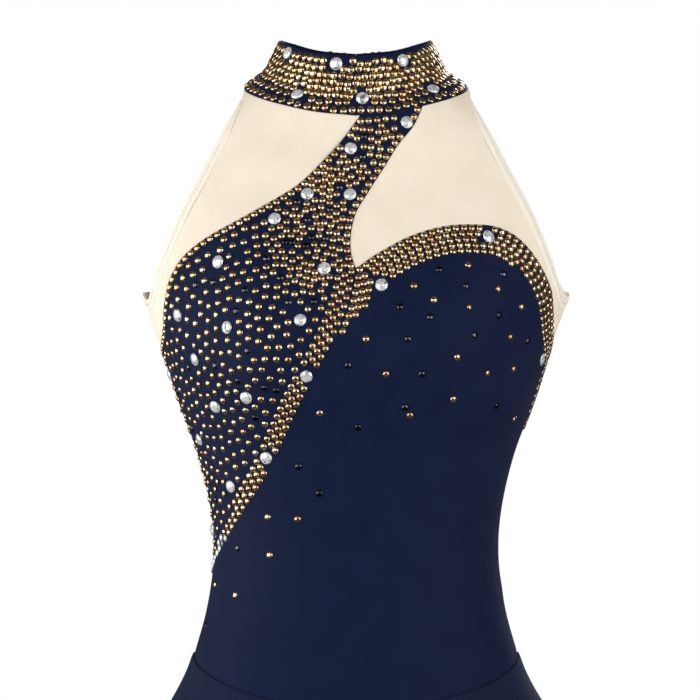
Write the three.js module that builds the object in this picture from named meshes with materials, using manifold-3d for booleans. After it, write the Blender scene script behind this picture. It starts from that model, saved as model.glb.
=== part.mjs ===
// A sleeveless figure skating dress, filled out as it is when it is worn: a stand collar and a sheer
// yoke carry a close-fitting stretch bodice, and a flared skirt with briefs under it is sewn on below
// the waist. One half of the bodice front sweeps up to the collar as a slanting halter band.
// Sizes are in millimetres. The origin is the middle of the neck at the foot of the collar, +Z is up,
// the front faces -Y, and the wearer's left is +X.
import * as THREE from "three";
import { mergeVertices } from "three/addons/utils/BufferGeometryUtils.js";
import Module from "manifold-3d";

const DEGREE = Math.PI / 180;
const SIDE = 90 * DEGREE;
const CENTRE_BACK = 180 * DEGREE;

// Cloth and seams
const STRETCH_WALL = 1.6;
const MESH_WALL = 1.2;
const COLLAR_WALL = 2.4;
const COLLAR_LIFT = 0.45;
const SKIRT_WALL = 1.2;
const SEAM_GAP = 0.32;
const LAYER_GAP = 0.3;

// The general figure that the pattern is cut for. down is the distance below the neck.
const FIGURE = [
  { down: -12, half: 74, front: 56, back: 59, square: 2.0 },
  { down: -3, half: 82, front: 58, back: 63, square: 2.0 },
  { down: 10, half: 98, front: 61, back: 70, square: 2.0 },
  { down: 22, half: 113, front: 63, back: 76, square: 2.05 },
  { down: 45, half: 136, front: 67, back: 87, square: 2.1 },
  { down: 75, half: 153, front: 74, back: 96, square: 2.2 },
  { down: 110, half: 161, front: 84, back: 102, square: 2.25 },
  { down: 152, half: 159, front: 94, back: 104, square: 2.3 },
  { down: 187, half: 147.5, front: 99, back: 101, square: 2.3 },
  { down: 210, half: 140, front: 99.5, back: 97, square: 2.3 },
  { down: 232, half: 132.8, front: 98, back: 93, square: 2.3 },
  { down: 277, half: 116.6, front: 94, back: 85, square: 2.25 },
  { down: 340, half: 106, front: 88, back: 78, square: 2.2 },
  { down: 390, half: 111.4, front: 89, back: 85, square: 2.2 },
  { down: 422, half: 120.2, front: 92, back: 94, square: 2.2 },
  { down: 470, half: 134, front: 96, back: 108, square: 2.2 },
  { down: 520, half: 145, front: 96, back: 114, square: 2.2 },
];
const CUP = { x: 67, down: 190, height: 23, inner: 48, outer: 34, above: 56, below: 38, fade: 0.35 };

// Where the collar stands on the yoke, its top edge, and where the skirt is sewn on, all round.
const RINGS = [
  { turn: 0, foot: -21.5, top: 23, waist: -463 },
  { turn: 30, foot: -17.6, top: 25.2, waist: -455.5 },
  { turn: 50, foot: -11.6, top: 29, waist: -446 },
  { turn: 70, foot: -4.2, top: 33.6, waist: -433 },
  { turn: 90, foot: 3, top: 37, waist: -422 },
  { turn: 120, foot: 8, top: 36, waist: -430 },
  { turn: 150, foot: 9.6, top: 31.5, waist: -438 },
  { turn: 180, foot: 10, top: 29.5, waist: -441 },
];
// The collar's top edge, and how far its wall has moved from foot to top edge at each share of its
// height.
const COLLAR_TOP = { half: 55.5, front: 55, back: 54 };
const COLLAR_PROFILE = [
  { up: 0, inward: 0 },
  { up: 0.15, inward: 0.27 },
  { up: 0.3, inward: 0.54 },
  { up: 0.5, inward: 0.69 },
  { up: 0.75, inward: 0.85 },
  { up: 1, inward: 1 },
];

// Seam lines, as x and z on the front or the back of the figure.
const HALTER_X = 2.8;
const HALTER_END_X = 49.5;
const NOTCH = { x: -0.1, z: -135 };
const HALTER_OUTER = [
  { x: -10.4, z: -39.7 },
  { x: -26, z: -56.7 },
  { x: -42.9, z: -72.7 },
  { x: -64.3, z: -86.1 },
  { x: -87, z: -98.9 },
  { x: -110.4, z: -111.9 },
  { x: -126, z: -123.9 },
  { x: -136.5, z: -139 },
  { x: -142, z: -160 },
  { x: -143.5, z: -182 },
];
const HALTER_INNER = [
  { x: 41.3, z: -30.8 },
  { x: 31.7, z: -42.4 },
  { x: 21, z: -59.7 },
  { x: 9.2, z: -78.3 },
  { x: -0.8, z: -96 },
  { x: -4, z: -112 },
  { x: -3.4, z: -125 },
];
const SWEEP_SEAM = [
  { x: -4.5, z: -158 },
  { x: -13.3, z: -181.8 },
  { x: -25.8, z: -206.7 },
  { x: -39.1, z: -231.8 },
  { x: -53.2, z: -262.8 },
  { x: -67.3, z: -291 },
  { x: -83, z: -316.5 },
  { x: -96.1, z: -338 },
];
const CUP_EDGE = [
  { x: 11.3, z: -127 },
  { x: 24.6, z: -119 },
  { x: 38.6, z: -111.8 },
  { x: 52.6, z: -106.8 },
  { x: 66.6, z: -103.6 },
  { x: 84, z: -102.4 },
  { x: 105.5, z: -104.6 },
  { x: 117, z: -110 },
  { x: 127.5, z: -119.6 },
  { x: 135.2, z: -130 },
  { x: 141.4, z: -141.4 },
  { x: 145, z: -151.4 },
  { x: 146.3, z: -163 },
  { x: 146.6, z: -175 },
];
const ARMHOLE_FRONT = [
  { x: 84.5, z: -6 },
  { x: 88.2, z: -14.5 },
  { x: 94, z: -24 },
  { x: 104.4, z: -42.6 },
  { x: 116, z: -65 },
  { x: 128, z: -87 },
  { x: 138, z: -109.5 },
  { x: 146.4, z: -132 },
  { x: 151, z: -147 },
  { x: 154.2, z: -157 },
];
const ARMHOLE_BACK = [
  { x: 82, z: -4 },
  { x: 84, z: -20 },
  { x: 89, z: -42 },
  { x: 96, z: -70 },
  { x: 106, z: -99 },
  { x: 120, z: -125 },
  { x: 138, z: -145 },
];
const UNDERARM_Z = -152.5;
const SIDE_TOP_Z = -198;
const SWEEP_END_Z = -364;

// The keyhole under the collar at the centre back, and the scooped top of the bodice back.
const KEYHOLE_TOP_X = 3;
const KEYHOLE = [
  { x: 10, z: -8 },
  { x: 20, z: -32 },
  { x: 27, z: -62 },
  { x: 26, z: -90 },
  { x: 15, z: -114 },
];
const KEYHOLE_FOOT_Z = -126;
const BACK_SCOOP_Z = -312;
const BACK_SCOOP = [
  { x: 134, z: -220 },
  { x: 114, z: -251 },
  { x: 84, z: -282 },
  { x: 44, z: -305 },
];

// Wall divisions along each seam, so that neighbours share every corner on it.
const DIVISIONS = {
  strap: 14,
  sweep: 10,
  lowerSide: 3,
  cupEdge: 18,
  yokeSide: 4,
  leftYokeSide: 4,
  backHalf: 9,
  keyhole: 7,
  collarRows: 5,
  skirtColumns: 44,
  skirtRows: 8,
  briefsRows: 8,
  armholeEdge: 20,
};

// The skirt's flare: how far the cloth has moved outward at each distance below its seam.
const FLARE = [
  { drop: 0, out: 0 },
  { drop: 12, out: 4.4 },
  { drop: 24, out: 10.2 },
  { drop: 36, out: 17 },
  { drop: 60, out: 31 },
  { drop: 100, out: 53 },
  { drop: 150, out: 78 },
  { drop: 200, out: 99 },
  { drop: 270, out: 124 },
];
const HEM_Z = -686;
const FLUTES = { count: 13, depth: 22, at: 250, growth: 1.7, shift: 0.7, uneven: 0.25, second: 0.2 };
const SKIRT_ROW_EASE = 1.1;

// The briefs, from the skirt seam to the crotch: the middle of each row, and its leg edge.
const BRIEFS_FRONT = [
  { along: 0, middleY: -95, middleZ: -463, half: 120.2, edgeY: 0, edgeZ: -422 },
  { along: 0.2, middleY: -97, middleZ: -500, half: 130, edgeY: 0, edgeZ: -455 },
  { along: 0.4, middleY: -95, middleZ: -540, half: 137, edgeY: 0, edgeZ: -487 },
  { along: 0.55, middleY: -88, middleZ: -572, half: 118, edgeY: -36, edgeZ: -522 },
  { along: 0.7, middleY: -76, middleZ: -602, half: 82, edgeY: -54, edgeZ: -564 },
  { along: 0.85, middleY: -50, middleZ: -631, half: 48, edgeY: -42, edgeZ: -614 },
  { along: 1, middleY: 0, middleZ: -646, half: 34, edgeY: 0, edgeZ: -641 },
];
const BRIEFS_BACK = [
  { along: 0, middleY: 100, middleZ: -441, half: 120.2, edgeY: 0, edgeZ: -422 },
  { along: 0.2, middleY: 109, middleZ: -485, half: 130, edgeY: 0, edgeZ: -455 },
  { along: 0.4, middleY: 113, middleZ: -530, half: 137, edgeY: 0, edgeZ: -487 },
  { along: 0.55, middleY: 111, middleZ: -566, half: 127, edgeY: 32, edgeZ: -532 },
  { along: 0.7, middleY: 100, middleZ: -602, half: 102, edgeY: 54, edgeZ: -578 },
  { along: 0.85, middleY: 64, middleZ: -634, half: 60, edgeY: 46, edgeZ: -622 },
  { along: 1, middleY: 0, middleZ: -646, half: 34, edgeY: 0, edgeZ: -641 },
];

// Turned and stitched armhole edge, which starts just under the collar
const EDGE_WIDTH = 7;
const EDGE_WALL = 1.2;
const EDGE_BELOW_COLLAR = 5;
const EDGE_GAP = 0.6;

// Large cut stones, which stand proud of the cloth; the small ones are too fine for these walls.
const STONE = { radius: 4.9, table: 3.1, height: 3, sides: 6, sunk: 1.1 };
const COLLAR_STONES = [
  { turn: -15, up: 0.85 },
  { turn: 37, up: 0.85 },
  { turn: 4.5, up: 0.28 },
  { turn: -41, up: 0.21 },
  { turn: 54.5, up: 0.21 },
  { turn: -60.5, up: 0.86 },
  { turn: 108, up: 0.72 },
  { turn: -98, up: 0.3 },
  { turn: 146, up: 0.4 },
  { turn: -152, up: 0.7 },
];
const HALTER_STONES = [
  { x: 37.5, z: -26.5 },
  { x: -4, z: -46 },
  { x: -36, z: -80 },
  { x: -4.5, z: -80.4 },
  { x: -60, z: -98.5 },
  { x: -101.5, z: -130.3 },
  { x: -23.5, z: -135.4 },
  { x: -131.5, z: -169.2 },
  { x: -94.5, z: -178.4 },
  { x: -41, z: -173.2 },
  { x: -118.6, z: -201.8 },
  { x: -138, z: -213.5 },
  { x: -36.5, z: -214 },
  { x: -80.5, z: -229.8 },
  { x: -103.5, z: -236.8 },
  { x: -115.8, z: -261.4 },
  { x: -66, z: -274.5 },
  { x: -92.4, z: -296 },
  { x: -106, z: -329.5 },
];
const CUP_STONES = [
  { x: 18.7, z: -147.5 },
  { x: 97.4, z: -111.6 },
  { x: 137.5, z: -202 },
];

// Two small covered buttons close the collar at the centre back.
const BUTTON = { radius: 3.5, height: 3.2, beside: 6, up: [0.25, 0.75] };

const NAVY = new THREE.MeshStandardMaterial({ color: 0x1c2542, roughness: 0.7, metalness: 0 });
const SHEER = new THREE.MeshStandardMaterial({ color: 0xf0e3cd, roughness: 0.75, metalness: 0 });

// The slope at each point of a line, weighted towards the nearer neighbour.
function slopesOf(xs, ys) {
  const last = xs.length - 1;
  const secant = (i) => (ys[i + 1] - ys[i]) / (xs[i + 1] - xs[i]);
  return xs.map((x, i) => {
    if (i === 0) return secant(0);
    if (i === last) return secant(last - 1);
    const before = x - xs[i - 1];
    const after = xs[i + 1] - x;
    return (after * secant(i - 1) + before * secant(i)) / (before + after);
  });
}

// A smooth line through points: a cubic piece between each two that meets their slopes.
function lineThrough(xs, ys) {
  const slopes = slopesOf(xs, ys);
  const last = xs.length - 1;
  return (x) => {
    let i = 0;
    while (i < last - 1 && x > xs[i + 1]) i += 1;
    const step = xs[i + 1] - xs[i];
    const t = Math.min(Math.max((x - xs[i]) / step, 0), 1);
    const rest = 1 - t;
    return (
      (1 + 2 * t) * rest * rest * ys[i] +
      t * t * (3 - 2 * t) * ys[i + 1] +
      t * rest * step * (rest * slopes[i] - t * slopes[i + 1])
    );
  };
}

// One column of a table as a smooth line against another.
function column(table, input, output) {
  return lineThrough(
    table.map((row) => row[input]),
    table.map((row) => row[output]),
  );
}

const halfWidth = column(FIGURE, "down", "half");
const frontDepth = column(FIGURE, "down", "front");
const backDepth = column(FIGURE, "down", "back");
const squareness = column(FIGURE, "down", "square");
const turnOf = (angle) => Math.abs(Math.atan2(Math.sin(angle), Math.cos(angle))) / DEGREE;
const ring = (name) => {
  const line = column(RINGS, "turn", name);
  return (angle) => line(turnOf(angle));
};
const collarFootZ = ring("foot");
const collarTopZ = ring("top");
const waistZ = ring("waist");

// The radius of an oval with squared shoulders, at an angle from its front.
function oval(angle, half, depth, square) {
  const across = Math.abs(Math.sin(angle) / half) ** square;
  const along = Math.abs(Math.cos(angle) / depth) ** square;
  return (across + along) ** (-1 / square);
}

// How far the cups stand out in front: a bell each side, wider inward and upward, so that the cloth
// bridges them.
function cupDepth(x, z, facing) {
  const bell = (distance, before, after) =>
    Math.exp(-0.5 * (distance / (distance > 0 ? after : before)) ** 2);
  const across = bell(x - CUP.x, CUP.inner, CUP.outer) + bell(-x - CUP.x, CUP.inner, CUP.outer);
  const fade = THREE.MathUtils.smoothstep(facing, 0, CUP.fade);
  return CUP.height * across * bell(-z - CUP.down, CUP.above, CUP.below) * fade;
}

// A point of the figure at an angle from the front and a height.
function figure(angle, z) {
  const facing = Math.cos(angle);
  const depth = facing > 0 ? frontDepth(-z) : backDepth(-z);
  const radius = oval(angle, halfWidth(-z), depth, squareness(-z));
  const x = radius * Math.sin(angle);
  return new THREE.Vector3(x, -radius * facing - cupDepth(x, z, facing), z);
}

// The outward direction of a surface given as a function of two parameters.
function outward(surface, a, b, stepA, stepB) {
  const alongA = surface(a + stepA, b).sub(surface(a - stepA, b));
  const alongB = surface(a, b + stepB).sub(surface(a, b - stepB));
  return alongA.cross(alongB).normalize();
}
const figureNormal = (angle, z) => outward(figure, angle, z, 0.01, 0.5);

// The angle at which the front or back of the figure has a given x, found by halving.
function angleOf(x, z, onBack) {
  let low = 0;
  let high = SIDE;
  for (let i = 0; i < 40; i += 1) {
    const middle = (low + high) / 2;
    const angle = onBack ? CENTRE_BACK - middle : middle;
    if (figure(angle, z).x < Math.abs(x)) low = middle;
    else high = middle;
  }
  const angle = onBack ? CENTRE_BACK - low : low;
  return x < 0 ? -angle : angle;
}
const onFront = (table) => table.map(({ x, z }) => [angleOf(x, z, false), z]);
const onBack = (table) => table.map(({ x, z }) => [angleOf(x, z, true), z]);
const mirrored = (points) => points.map(([angle, z]) => [-angle, z]);

// A seam as a smooth line through its points, cut into equal divisions, or into ones that
// shorten towards its end, where ease is more than 1. The girth turns an angle into a length.
const GIRTH = 115;
function seam(points, divisions, ease = 1) {
  const lengths = [0];
  for (let i = 1; i < points.length; i += 1) {
    const across = (points[i][0] - points[i - 1][0]) * GIRTH;
    lengths.push(lengths[i - 1] + Math.hypot(across, points[i][1] - points[i - 1][1]));
  }
  const angle = lineThrough(lengths, points.map((point) => point[0]));
  const height = lineThrough(lengths, points.map((point) => point[1]));
  const total = lengths[lengths.length - 1];
  return Array.from({ length: divisions + 1 }, (_, i) => {
    const at = total * (1 - (1 - i / divisions) ** ease);
    return [angle(at), height(at)];
  });
}
const joined = (first, second) => [...first, ...second.slice(1)];

// A stretch of a ring seam, from one angle to another.
function ringSeam(height, from, to, divisions) {
  return Array.from({ length: divisions + 1 }, (_, i) => {
    const angle = from + ((to - from) * i) / divisions;
    return [angle, height(angle)];
  });
}

// Evens out a grid of points between fixed borders, so that no cell folds over. Each point moves
// halfway to the mean of its neighbours, which after the first rounds is weighted by how far apart
// the grid's lines run there.
const EVENING = { rounds: 260, plain: 60, step: 0.5 };
function evened(grid) {
  const flat = grid.map((row) => row.map(([angle, z]) => new THREE.Vector2(angle * GIRTH, z)));
  const between = (a, b) => a.clone().sub(b).multiplyScalar(0.5);
  for (let round = 0; round < EVENING.rounds; round += 1)
    for (let i = 1; i < flat.length - 1; i += 1)
      for (let j = 1; j < flat[0].length - 1; j += 1) {
        const [above, row, below] = [flat[i - 1], flat[i], flat[i + 1]];
        const across = between(row[j + 1], row[j - 1]);
        const down = between(below[j], above[j]);
        const skew = between(between(below[j + 1], below[j - 1]), between(above[j + 1], above[j - 1]));
        const plain = round < EVENING.plain;
        const [sideways, upright] = plain ? [1, 1] : [down.lengthSq(), across.lengthSq()];
        const mean = new THREE.Vector2()
          .addScaledVector(row[j + 1].clone().add(row[j - 1]), sideways)
          .addScaledVector(below[j].clone().add(above[j]), upright)
          .addScaledVector(skew, plain ? 0 : -2 * across.dot(down))
          .divideScalar(2 * (sideways + upright));
        row[j].lerp(mean, EVENING.step);
      }
  return flat.map((row) => row.map((point) => [point.x / GIRTH, point.y]));
}

// A panel between four seams: each point starts as a blend of the points level with it on all sides.
function panel(top, bottom, left, right) {
  const columns = top.length - 1;
  const rows = left.length - 1;
  const blend = left.map((_, i) =>
    top.map((__, j) => {
      const u = j / columns;
      const v = i / rows;
      return [0, 1].map(
        (k) =>
          (1 - v) * top[j][k] + v * bottom[j][k] + (1 - u) * left[i][k] + u * right[i][k] -
          (1 - u) * ((1 - v) * top[0][k] + v * bottom[0][k]) -
          u * ((1 - v) * top[columns][k] + v * bottom[columns][k]),
      );
    }),
  );
  return evened(blend);
}

// Moves the border points of a grid inward along the cloth, to leave room for the seam.
function insetBorder(points, normals, gap) {
  const rows = points.length - 1;
  const columns = points[0].length - 1;
  const at = (i, j) => points[Math.min(Math.max(i, 0), rows)][Math.min(Math.max(j, 0), columns)];
  const moved = points.map((row) => row.map((point) => point.clone()));
  const shift = (i, j, tangent, sense) => {
    const way = new THREE.Vector3().crossVectors(normals[i][j], tangent).normalize();
    moved[i][j].addScaledVector(way, sense * gap);
  };
  for (let i = 0; i <= rows; i += 1)
    for (const [j, sense] of [[0, 1], [columns, -1]])
      shift(i, j, at(i + 1, j).clone().sub(at(i - 1, j)), sense);
  for (let j = 0; j <= columns; j += 1)
    for (const [i, sense] of [[0, -1], [rows, 1]])
      shift(i, j, at(i, j + 1).clone().sub(at(i, j - 1)), sense);
  return moved;
}

// A closed wall on a grid of points: an outer and an inner face, and a rim round the border.
function wall(points, normals, inner, outer) {
  const rows = points.length;
  const columns = points[0].length;
  const position = [];
  for (const offset of [outer, inner])
    points.forEach((row, i) =>
      row.forEach((point, j) => {
        const moved = point.clone().addScaledVector(normals[i][j], offset);
        position.push(moved.x, moved.y, moved.z);
      }),
    );
  const index = [];
  const under = rows * columns;
  const quad = (a, b, c, d) => index.push(a, b, c, a, c, d);
  for (let i = 0; i < rows - 1; i += 1)
    for (let j = 0; j < columns - 1; j += 1) {
      const a = i * columns + j;
      const [b, c, d] = [a + columns, a + columns + 1, a + 1];
      quad(a, b, c, d);
      quad(a + under, d + under, c + under, b + under);
    }
  const rim = (a, b) => quad(b, a, a + under, b + under);
  for (let j = 0; j < columns - 1; j += 1) {
    rim(j + 1, j);
    const foot = (rows - 1) * columns + j;
    rim(foot, foot + 1);
  }
  for (let i = 0; i < rows - 1; i += 1) {
    rim(i * columns, (i + 1) * columns);
    const end = i * columns + columns - 1;
    rim(end + columns, end);
  }
  const geometry = new THREE.BufferGeometry();
  geometry.setAttribute("position", new THREE.Float32BufferAttribute(position, 3));
  geometry.setIndex(index);
  return geometry;
}

// The same wall, set back from its neighbours along every seam.
function seamedWall(points, normals, thickness) {
  const set = insetBorder(points, normals, SEAM_GAP / 2);
  return wall(set, normals, -thickness / 2, thickness / 2);
}
function figureWall(grid, thickness) {
  const points = grid.map((row) => row.map(([angle, z]) => figure(angle, z)));
  const normals = grid.map((row) => row.map(([angle, z]) => figureNormal(angle, z)));
  return seamedWall(points, normals, thickness);
}

// Normals of a grid of points, from the points on either side of each.
function gridNormals(points) {
  const rows = points.length - 1;
  const columns = points[0].length - 1;
  return points.map((row, i) =>
    row.map((_, j) => {
      const across = row[Math.min(j + 1, columns)].clone().sub(row[Math.max(j - 1, 0)]);
      const down = points[Math.min(i + 1, rows)][j].clone().sub(points[Math.max(i - 1, 0)][j]);
      return down.cross(across).normalize();
    }),
  );
}

const dress = new THREE.Group();
function add(name, geometry, material) {
  const mesh = new THREE.Mesh(geometry, material);
  mesh.name = name;
  dress.add(mesh);
}

// Joining solids, for the large stones
const wasm = await Module();
wasm.setup();
function solidOf(geometry) {
  const bare = geometry.clone();
  bare.deleteAttribute("normal");
  bare.deleteAttribute("uv");
  const merged = mergeVertices(bare, 1e-4);
  return new wasm.Manifold(
    new wasm.Mesh({
      numProp: 3,
      vertProperties: new Float32Array(merged.attributes.position.array),
      triVerts: new Uint32Array(merged.index.array),
    }),
  );
}
function geometryOf(solid) {
  const mesh = solid.getMesh();
  const geometry = new THREE.BufferGeometry();
  geometry.setAttribute("position", new THREE.BufferAttribute(mesh.vertProperties, 3));
  geometry.setIndex(new THREE.BufferAttribute(mesh.triVerts, 1));
  return geometry;
}

// A flat-backed stone: a short cone with its tip cut off, standing along the cloth's normal.
function stoneAt(point, normal, wallHalf) {
  const { radius, table, height, sides, sunk } = STONE;
  const stone = new THREE.CylinderGeometry(table, radius, height + sunk, sides);
  const middle = wallHalf + (height - sunk) / 2;
  stone.applyQuaternion(new THREE.Quaternion().setFromUnitVectors(new THREE.Vector3(0, 1, 0), normal));
  stone.translate(...point.clone().addScaledVector(normal, middle).toArray());
  return stone;
}
function withStones(cloth, stones) {
  return geometryOf(stones.reduce((solid, stone) => solid.add(solidOf(stone)), solidOf(cloth)));
}
const stonesOnFront = (table) =>
  table.map(({ x, z }) => {
    const angle = angleOf(x, z, false);
    return stoneAt(figure(angle, z), figureNormal(angle, z), STRETCH_WALL / 2);
  });

// Corners of the pattern, each an angle and a height
const strapStart = angleOf(HALTER_X, collarFootZ(0), false);
const strapEnd = angleOf(HALTER_END_X, -15, false);
const keyholeTop = angleOf(KEYHOLE_TOP_X, collarFootZ(CENTRE_BACK), true);
const onRing = (angle, height) => [angle, height(angle)];
const notch = [angleOf(NOTCH.x, NOTCH.z, false), NOTCH.z];

// Seams of the front
const { strap, sweep, lowerSide, cupEdge, yokeSide, backHalf, keyhole } = DIVISIONS;
const outerHalterSeam = seam(
  [onRing(strapStart, collarFootZ), ...onFront(HALTER_OUTER), [-SIDE, SIDE_TOP_Z]],
  strap + sweep,
);
const innerHalterSeam = seam([onRing(strapEnd, collarFootZ), ...onFront(HALTER_INNER), notch], strap);
const sweepSeam = seam([notch, ...onFront(SWEEP_SEAM), [-SIDE, SWEEP_END_Z]], sweep);
const cupEdgeSeam = seam([notch, ...onFront(CUP_EDGE), [SIDE, SIDE_TOP_Z]], cupEdge);
const sideLine = (angle, from, to, divisions) => seam([[angle, from], [angle, to]], divisions);
const rightUpperSide = sideLine(-SIDE, UNDERARM_Z, SIDE_TOP_Z, yokeSide);
const leftUpperSide = sideLine(SIDE, UNDERARM_Z, SIDE_TOP_Z, yokeSide);
const rightSweepSide = sideLine(-SIDE, SIDE_TOP_Z, SWEEP_END_Z, sweep);
const rightLowerSide = sideLine(-SIDE, SWEEP_END_Z, waistZ(SIDE), lowerSide);
const leftSide = sideLine(SIDE, SIDE_TOP_Z, waistZ(SIDE), sweep + lowerSide);
const frontWaist = ringSeam(waistZ, -SIDE, SIDE, cupEdge);

// The halter half of the front: it sweeps from the collar to the wearer's right side seam.
const halterGrid = panel(
  ringSeam(collarFootZ, strapStart, strapEnd, sweep),
  rightSweepSide,
  outerHalterSeam,
  joined(innerHalterSeam, sweepSeam),
);
add("halter_front", withStones(figureWall(halterGrid, STRETCH_WALL), stonesOnFront(HALTER_STONES)), NAVY);

// The rest of the front, with the wearer's left cup
const bodiceGrid = panel(cupEdgeSeam, frontWaist, joined(sweepSeam, rightLowerSide), leftSide);
add("bodice_front", withStones(figureWall(bodiceGrid, STRETCH_WALL), stonesOnFront(CUP_STONES)), NAVY);

// Sheer yoke in front, one panel each side of the halter band
const UNDERARM_EASE = 1.35;
const armhole = (points, divisions) => seam(points, divisions, UNDERARM_EASE);
const frontArmholePoints = [onRing(SIDE, collarFootZ), ...onFront(ARMHOLE_FRONT), [SIDE, UNDERARM_Z]];
const rightYokeGrid = panel(
  ringSeam(collarFootZ, -SIDE, strapStart, yokeSide),
  rightUpperSide,
  armhole(mirrored(frontArmholePoints), strap + sweep),
  outerHalterSeam,
);
add("yoke_right", figureWall(rightYokeGrid, MESH_WALL), SHEER);
const { leftYokeSide } = DIVISIONS;
const leftYokeGrid = panel(
  ringSeam(collarFootZ, strapEnd, SIDE, cupEdge),
  cupEdgeSeam,
  innerHalterSeam,
  joined(
    armhole(frontArmholePoints, strap - leftYokeSide),
    sideLine(SIDE, UNDERARM_Z, SIDE_TOP_Z, leftYokeSide),
  ),
);
add("yoke_left", figureWall(leftYokeGrid, MESH_WALL), SHEER);

// The back: a sheer upper half each side of the keyhole, and the scooped bodice back
const backArmholePoints = [onRing(SIDE, collarFootZ), ...onBack(ARMHOLE_BACK), [SIDE, UNDERARM_Z]];
const backRows = strap - yokeSide;
const leftBackOuter = joined(armhole(backArmholePoints, backRows), leftUpperSide);
const keyholeLine = joined(
  seam(
    [onRing(keyholeTop, collarFootZ), ...onBack(KEYHOLE), [CENTRE_BACK, KEYHOLE_FOOT_Z]],
    keyhole,
  ),
  sideLine(CENTRE_BACK, KEYHOLE_FOOT_Z, BACK_SCOOP_Z, strap - keyhole),
);
const leftScoop = seam([[SIDE, SIDE_TOP_Z], ...onBack(BACK_SCOOP), [CENTRE_BACK, BACK_SCOOP_Z]], backHalf);
const leftBackGrid = panel(
  ringSeam(collarFootZ, SIDE, keyholeTop, backHalf),
  leftScoop,
  leftBackOuter,
  keyholeLine,
);
add("back_yoke_left", figureWall(leftBackGrid, MESH_WALL), SHEER);
const rightBackGrid = leftBackGrid.map((row) => mirrored(row).reverse());
add("back_yoke_right", figureWall(rightBackGrid, MESH_WALL), SHEER);

const aroundBack = (points) => points.map(([angle, z]) => [angle < 0 ? angle + 2 * Math.PI : angle, z]);
const backGrid = panel(
  joined(leftScoop, aroundBack(mirrored(leftScoop)).reverse()),
  ringSeam(waistZ, SIDE, 3 * SIDE, 2 * backHalf),
  leftSide,
  aroundBack(joined(rightSweepSide, rightLowerSide)),
);
add("bodice_back", figureWall(backGrid, STRETCH_WALL), NAVY);

// Stand collar: its foot is the yoke's top edge, and its wall leans in and then rises to the top edge.
const collarInward = column(COLLAR_PROFILE, "up", "inward");
function collarPoint(angle, up) {
  const foot = figure(angle, collarFootZ(angle));
  const depth = Math.cos(angle) > 0 ? COLLAR_TOP.front : COLLAR_TOP.back;
  const radius = oval(angle, COLLAR_TOP.half, depth, 2);
  const top = new THREE.Vector3(radius * Math.sin(angle), -radius * Math.cos(angle), 0);
  const point = foot.clone().lerp(top, collarInward(up));
  point.z = THREE.MathUtils.lerp(foot.z + COLLAR_LIFT, collarTopZ(angle), up);
  return point;
}
const collarEnd = CENTRE_BACK - 0.15 * DEGREE;
const collarAngles = [
  ...ringSeam(collarFootZ, -keyholeTop, -SIDE, backHalf),
  ...ringSeam(collarFootZ, -SIDE, strapStart, yokeSide).slice(1),
  ...ringSeam(collarFootZ, strapStart, strapEnd, sweep).slice(1),
  ...ringSeam(collarFootZ, strapEnd, SIDE, cupEdge).slice(1),
  ...ringSeam(collarFootZ, SIDE, keyholeTop, backHalf).slice(1),
].map(([angle]) => angle);
const collarTurns = [-collarEnd, ...collarAngles, collarEnd];
const { collarRows } = DIVISIONS;
const collarLevels = Array.from({ length: collarRows + 1 }, (_, i) => 1 - i / collarRows);
const collarPoints = collarLevels.map((up) => collarTurns.map((angle) => collarPoint(angle, up)));
const collarNormal = (angle, up) => {
  const low = Math.max(up - 0.02, 0);
  const high = Math.min(up + 0.02, 1);
  const around = collarPoint(angle + 0.01, up).sub(collarPoint(angle - 0.01, up));
  return around.cross(collarPoint(angle, high).sub(collarPoint(angle, low))).normalize();
};
const collarNormals = collarLevels.map((up) => collarTurns.map((angle) => collarNormal(angle, up)));
const collarStones = COLLAR_STONES.map(({ turn, up }) =>
  stoneAt(collarPoint(turn * DEGREE, up), collarNormal(turn * DEGREE, up), COLLAR_WALL / 2),
);
add("collar", withStones(seamedWall(collarPoints, collarNormals, COLLAR_WALL), collarStones), NAVY);

// Covered buttons of the collar: a dome with a flat back, turned about its axis
const buttonTurn = CENTRE_BACK - Math.atan2(BUTTON.beside, COLLAR_TOP.back);
BUTTON.up.forEach((up, i) => {
  const arc = Array.from({ length: 6 }, (_, k) => {
    const lean = (k / 5) * SIDE;
    return new THREE.Vector2(BUTTON.radius * Math.cos(lean), 1 + (BUTTON.height - 1) * Math.sin(lean));
  });
  const profile = [new THREE.Vector2(0, 0), new THREE.Vector2(BUTTON.radius, 0), ...arc];
  profile[profile.length - 1].x = 0;
  const dome = new THREE.LatheGeometry(profile, 16);
  const normal = collarNormal(buttonTurn, up);
  dome.applyQuaternion(new THREE.Quaternion().setFromUnitVectors(new THREE.Vector3(0, 1, 0), normal));
  const seat = collarPoint(buttonTurn, up).addScaledVector(normal, COLLAR_WALL / 2 + 2 * LAYER_GAP);
  dome.translate(...seat.toArray());
  add(["collar_button_lower", "collar_button_upper"][i], dome, NAVY);
});

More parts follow.
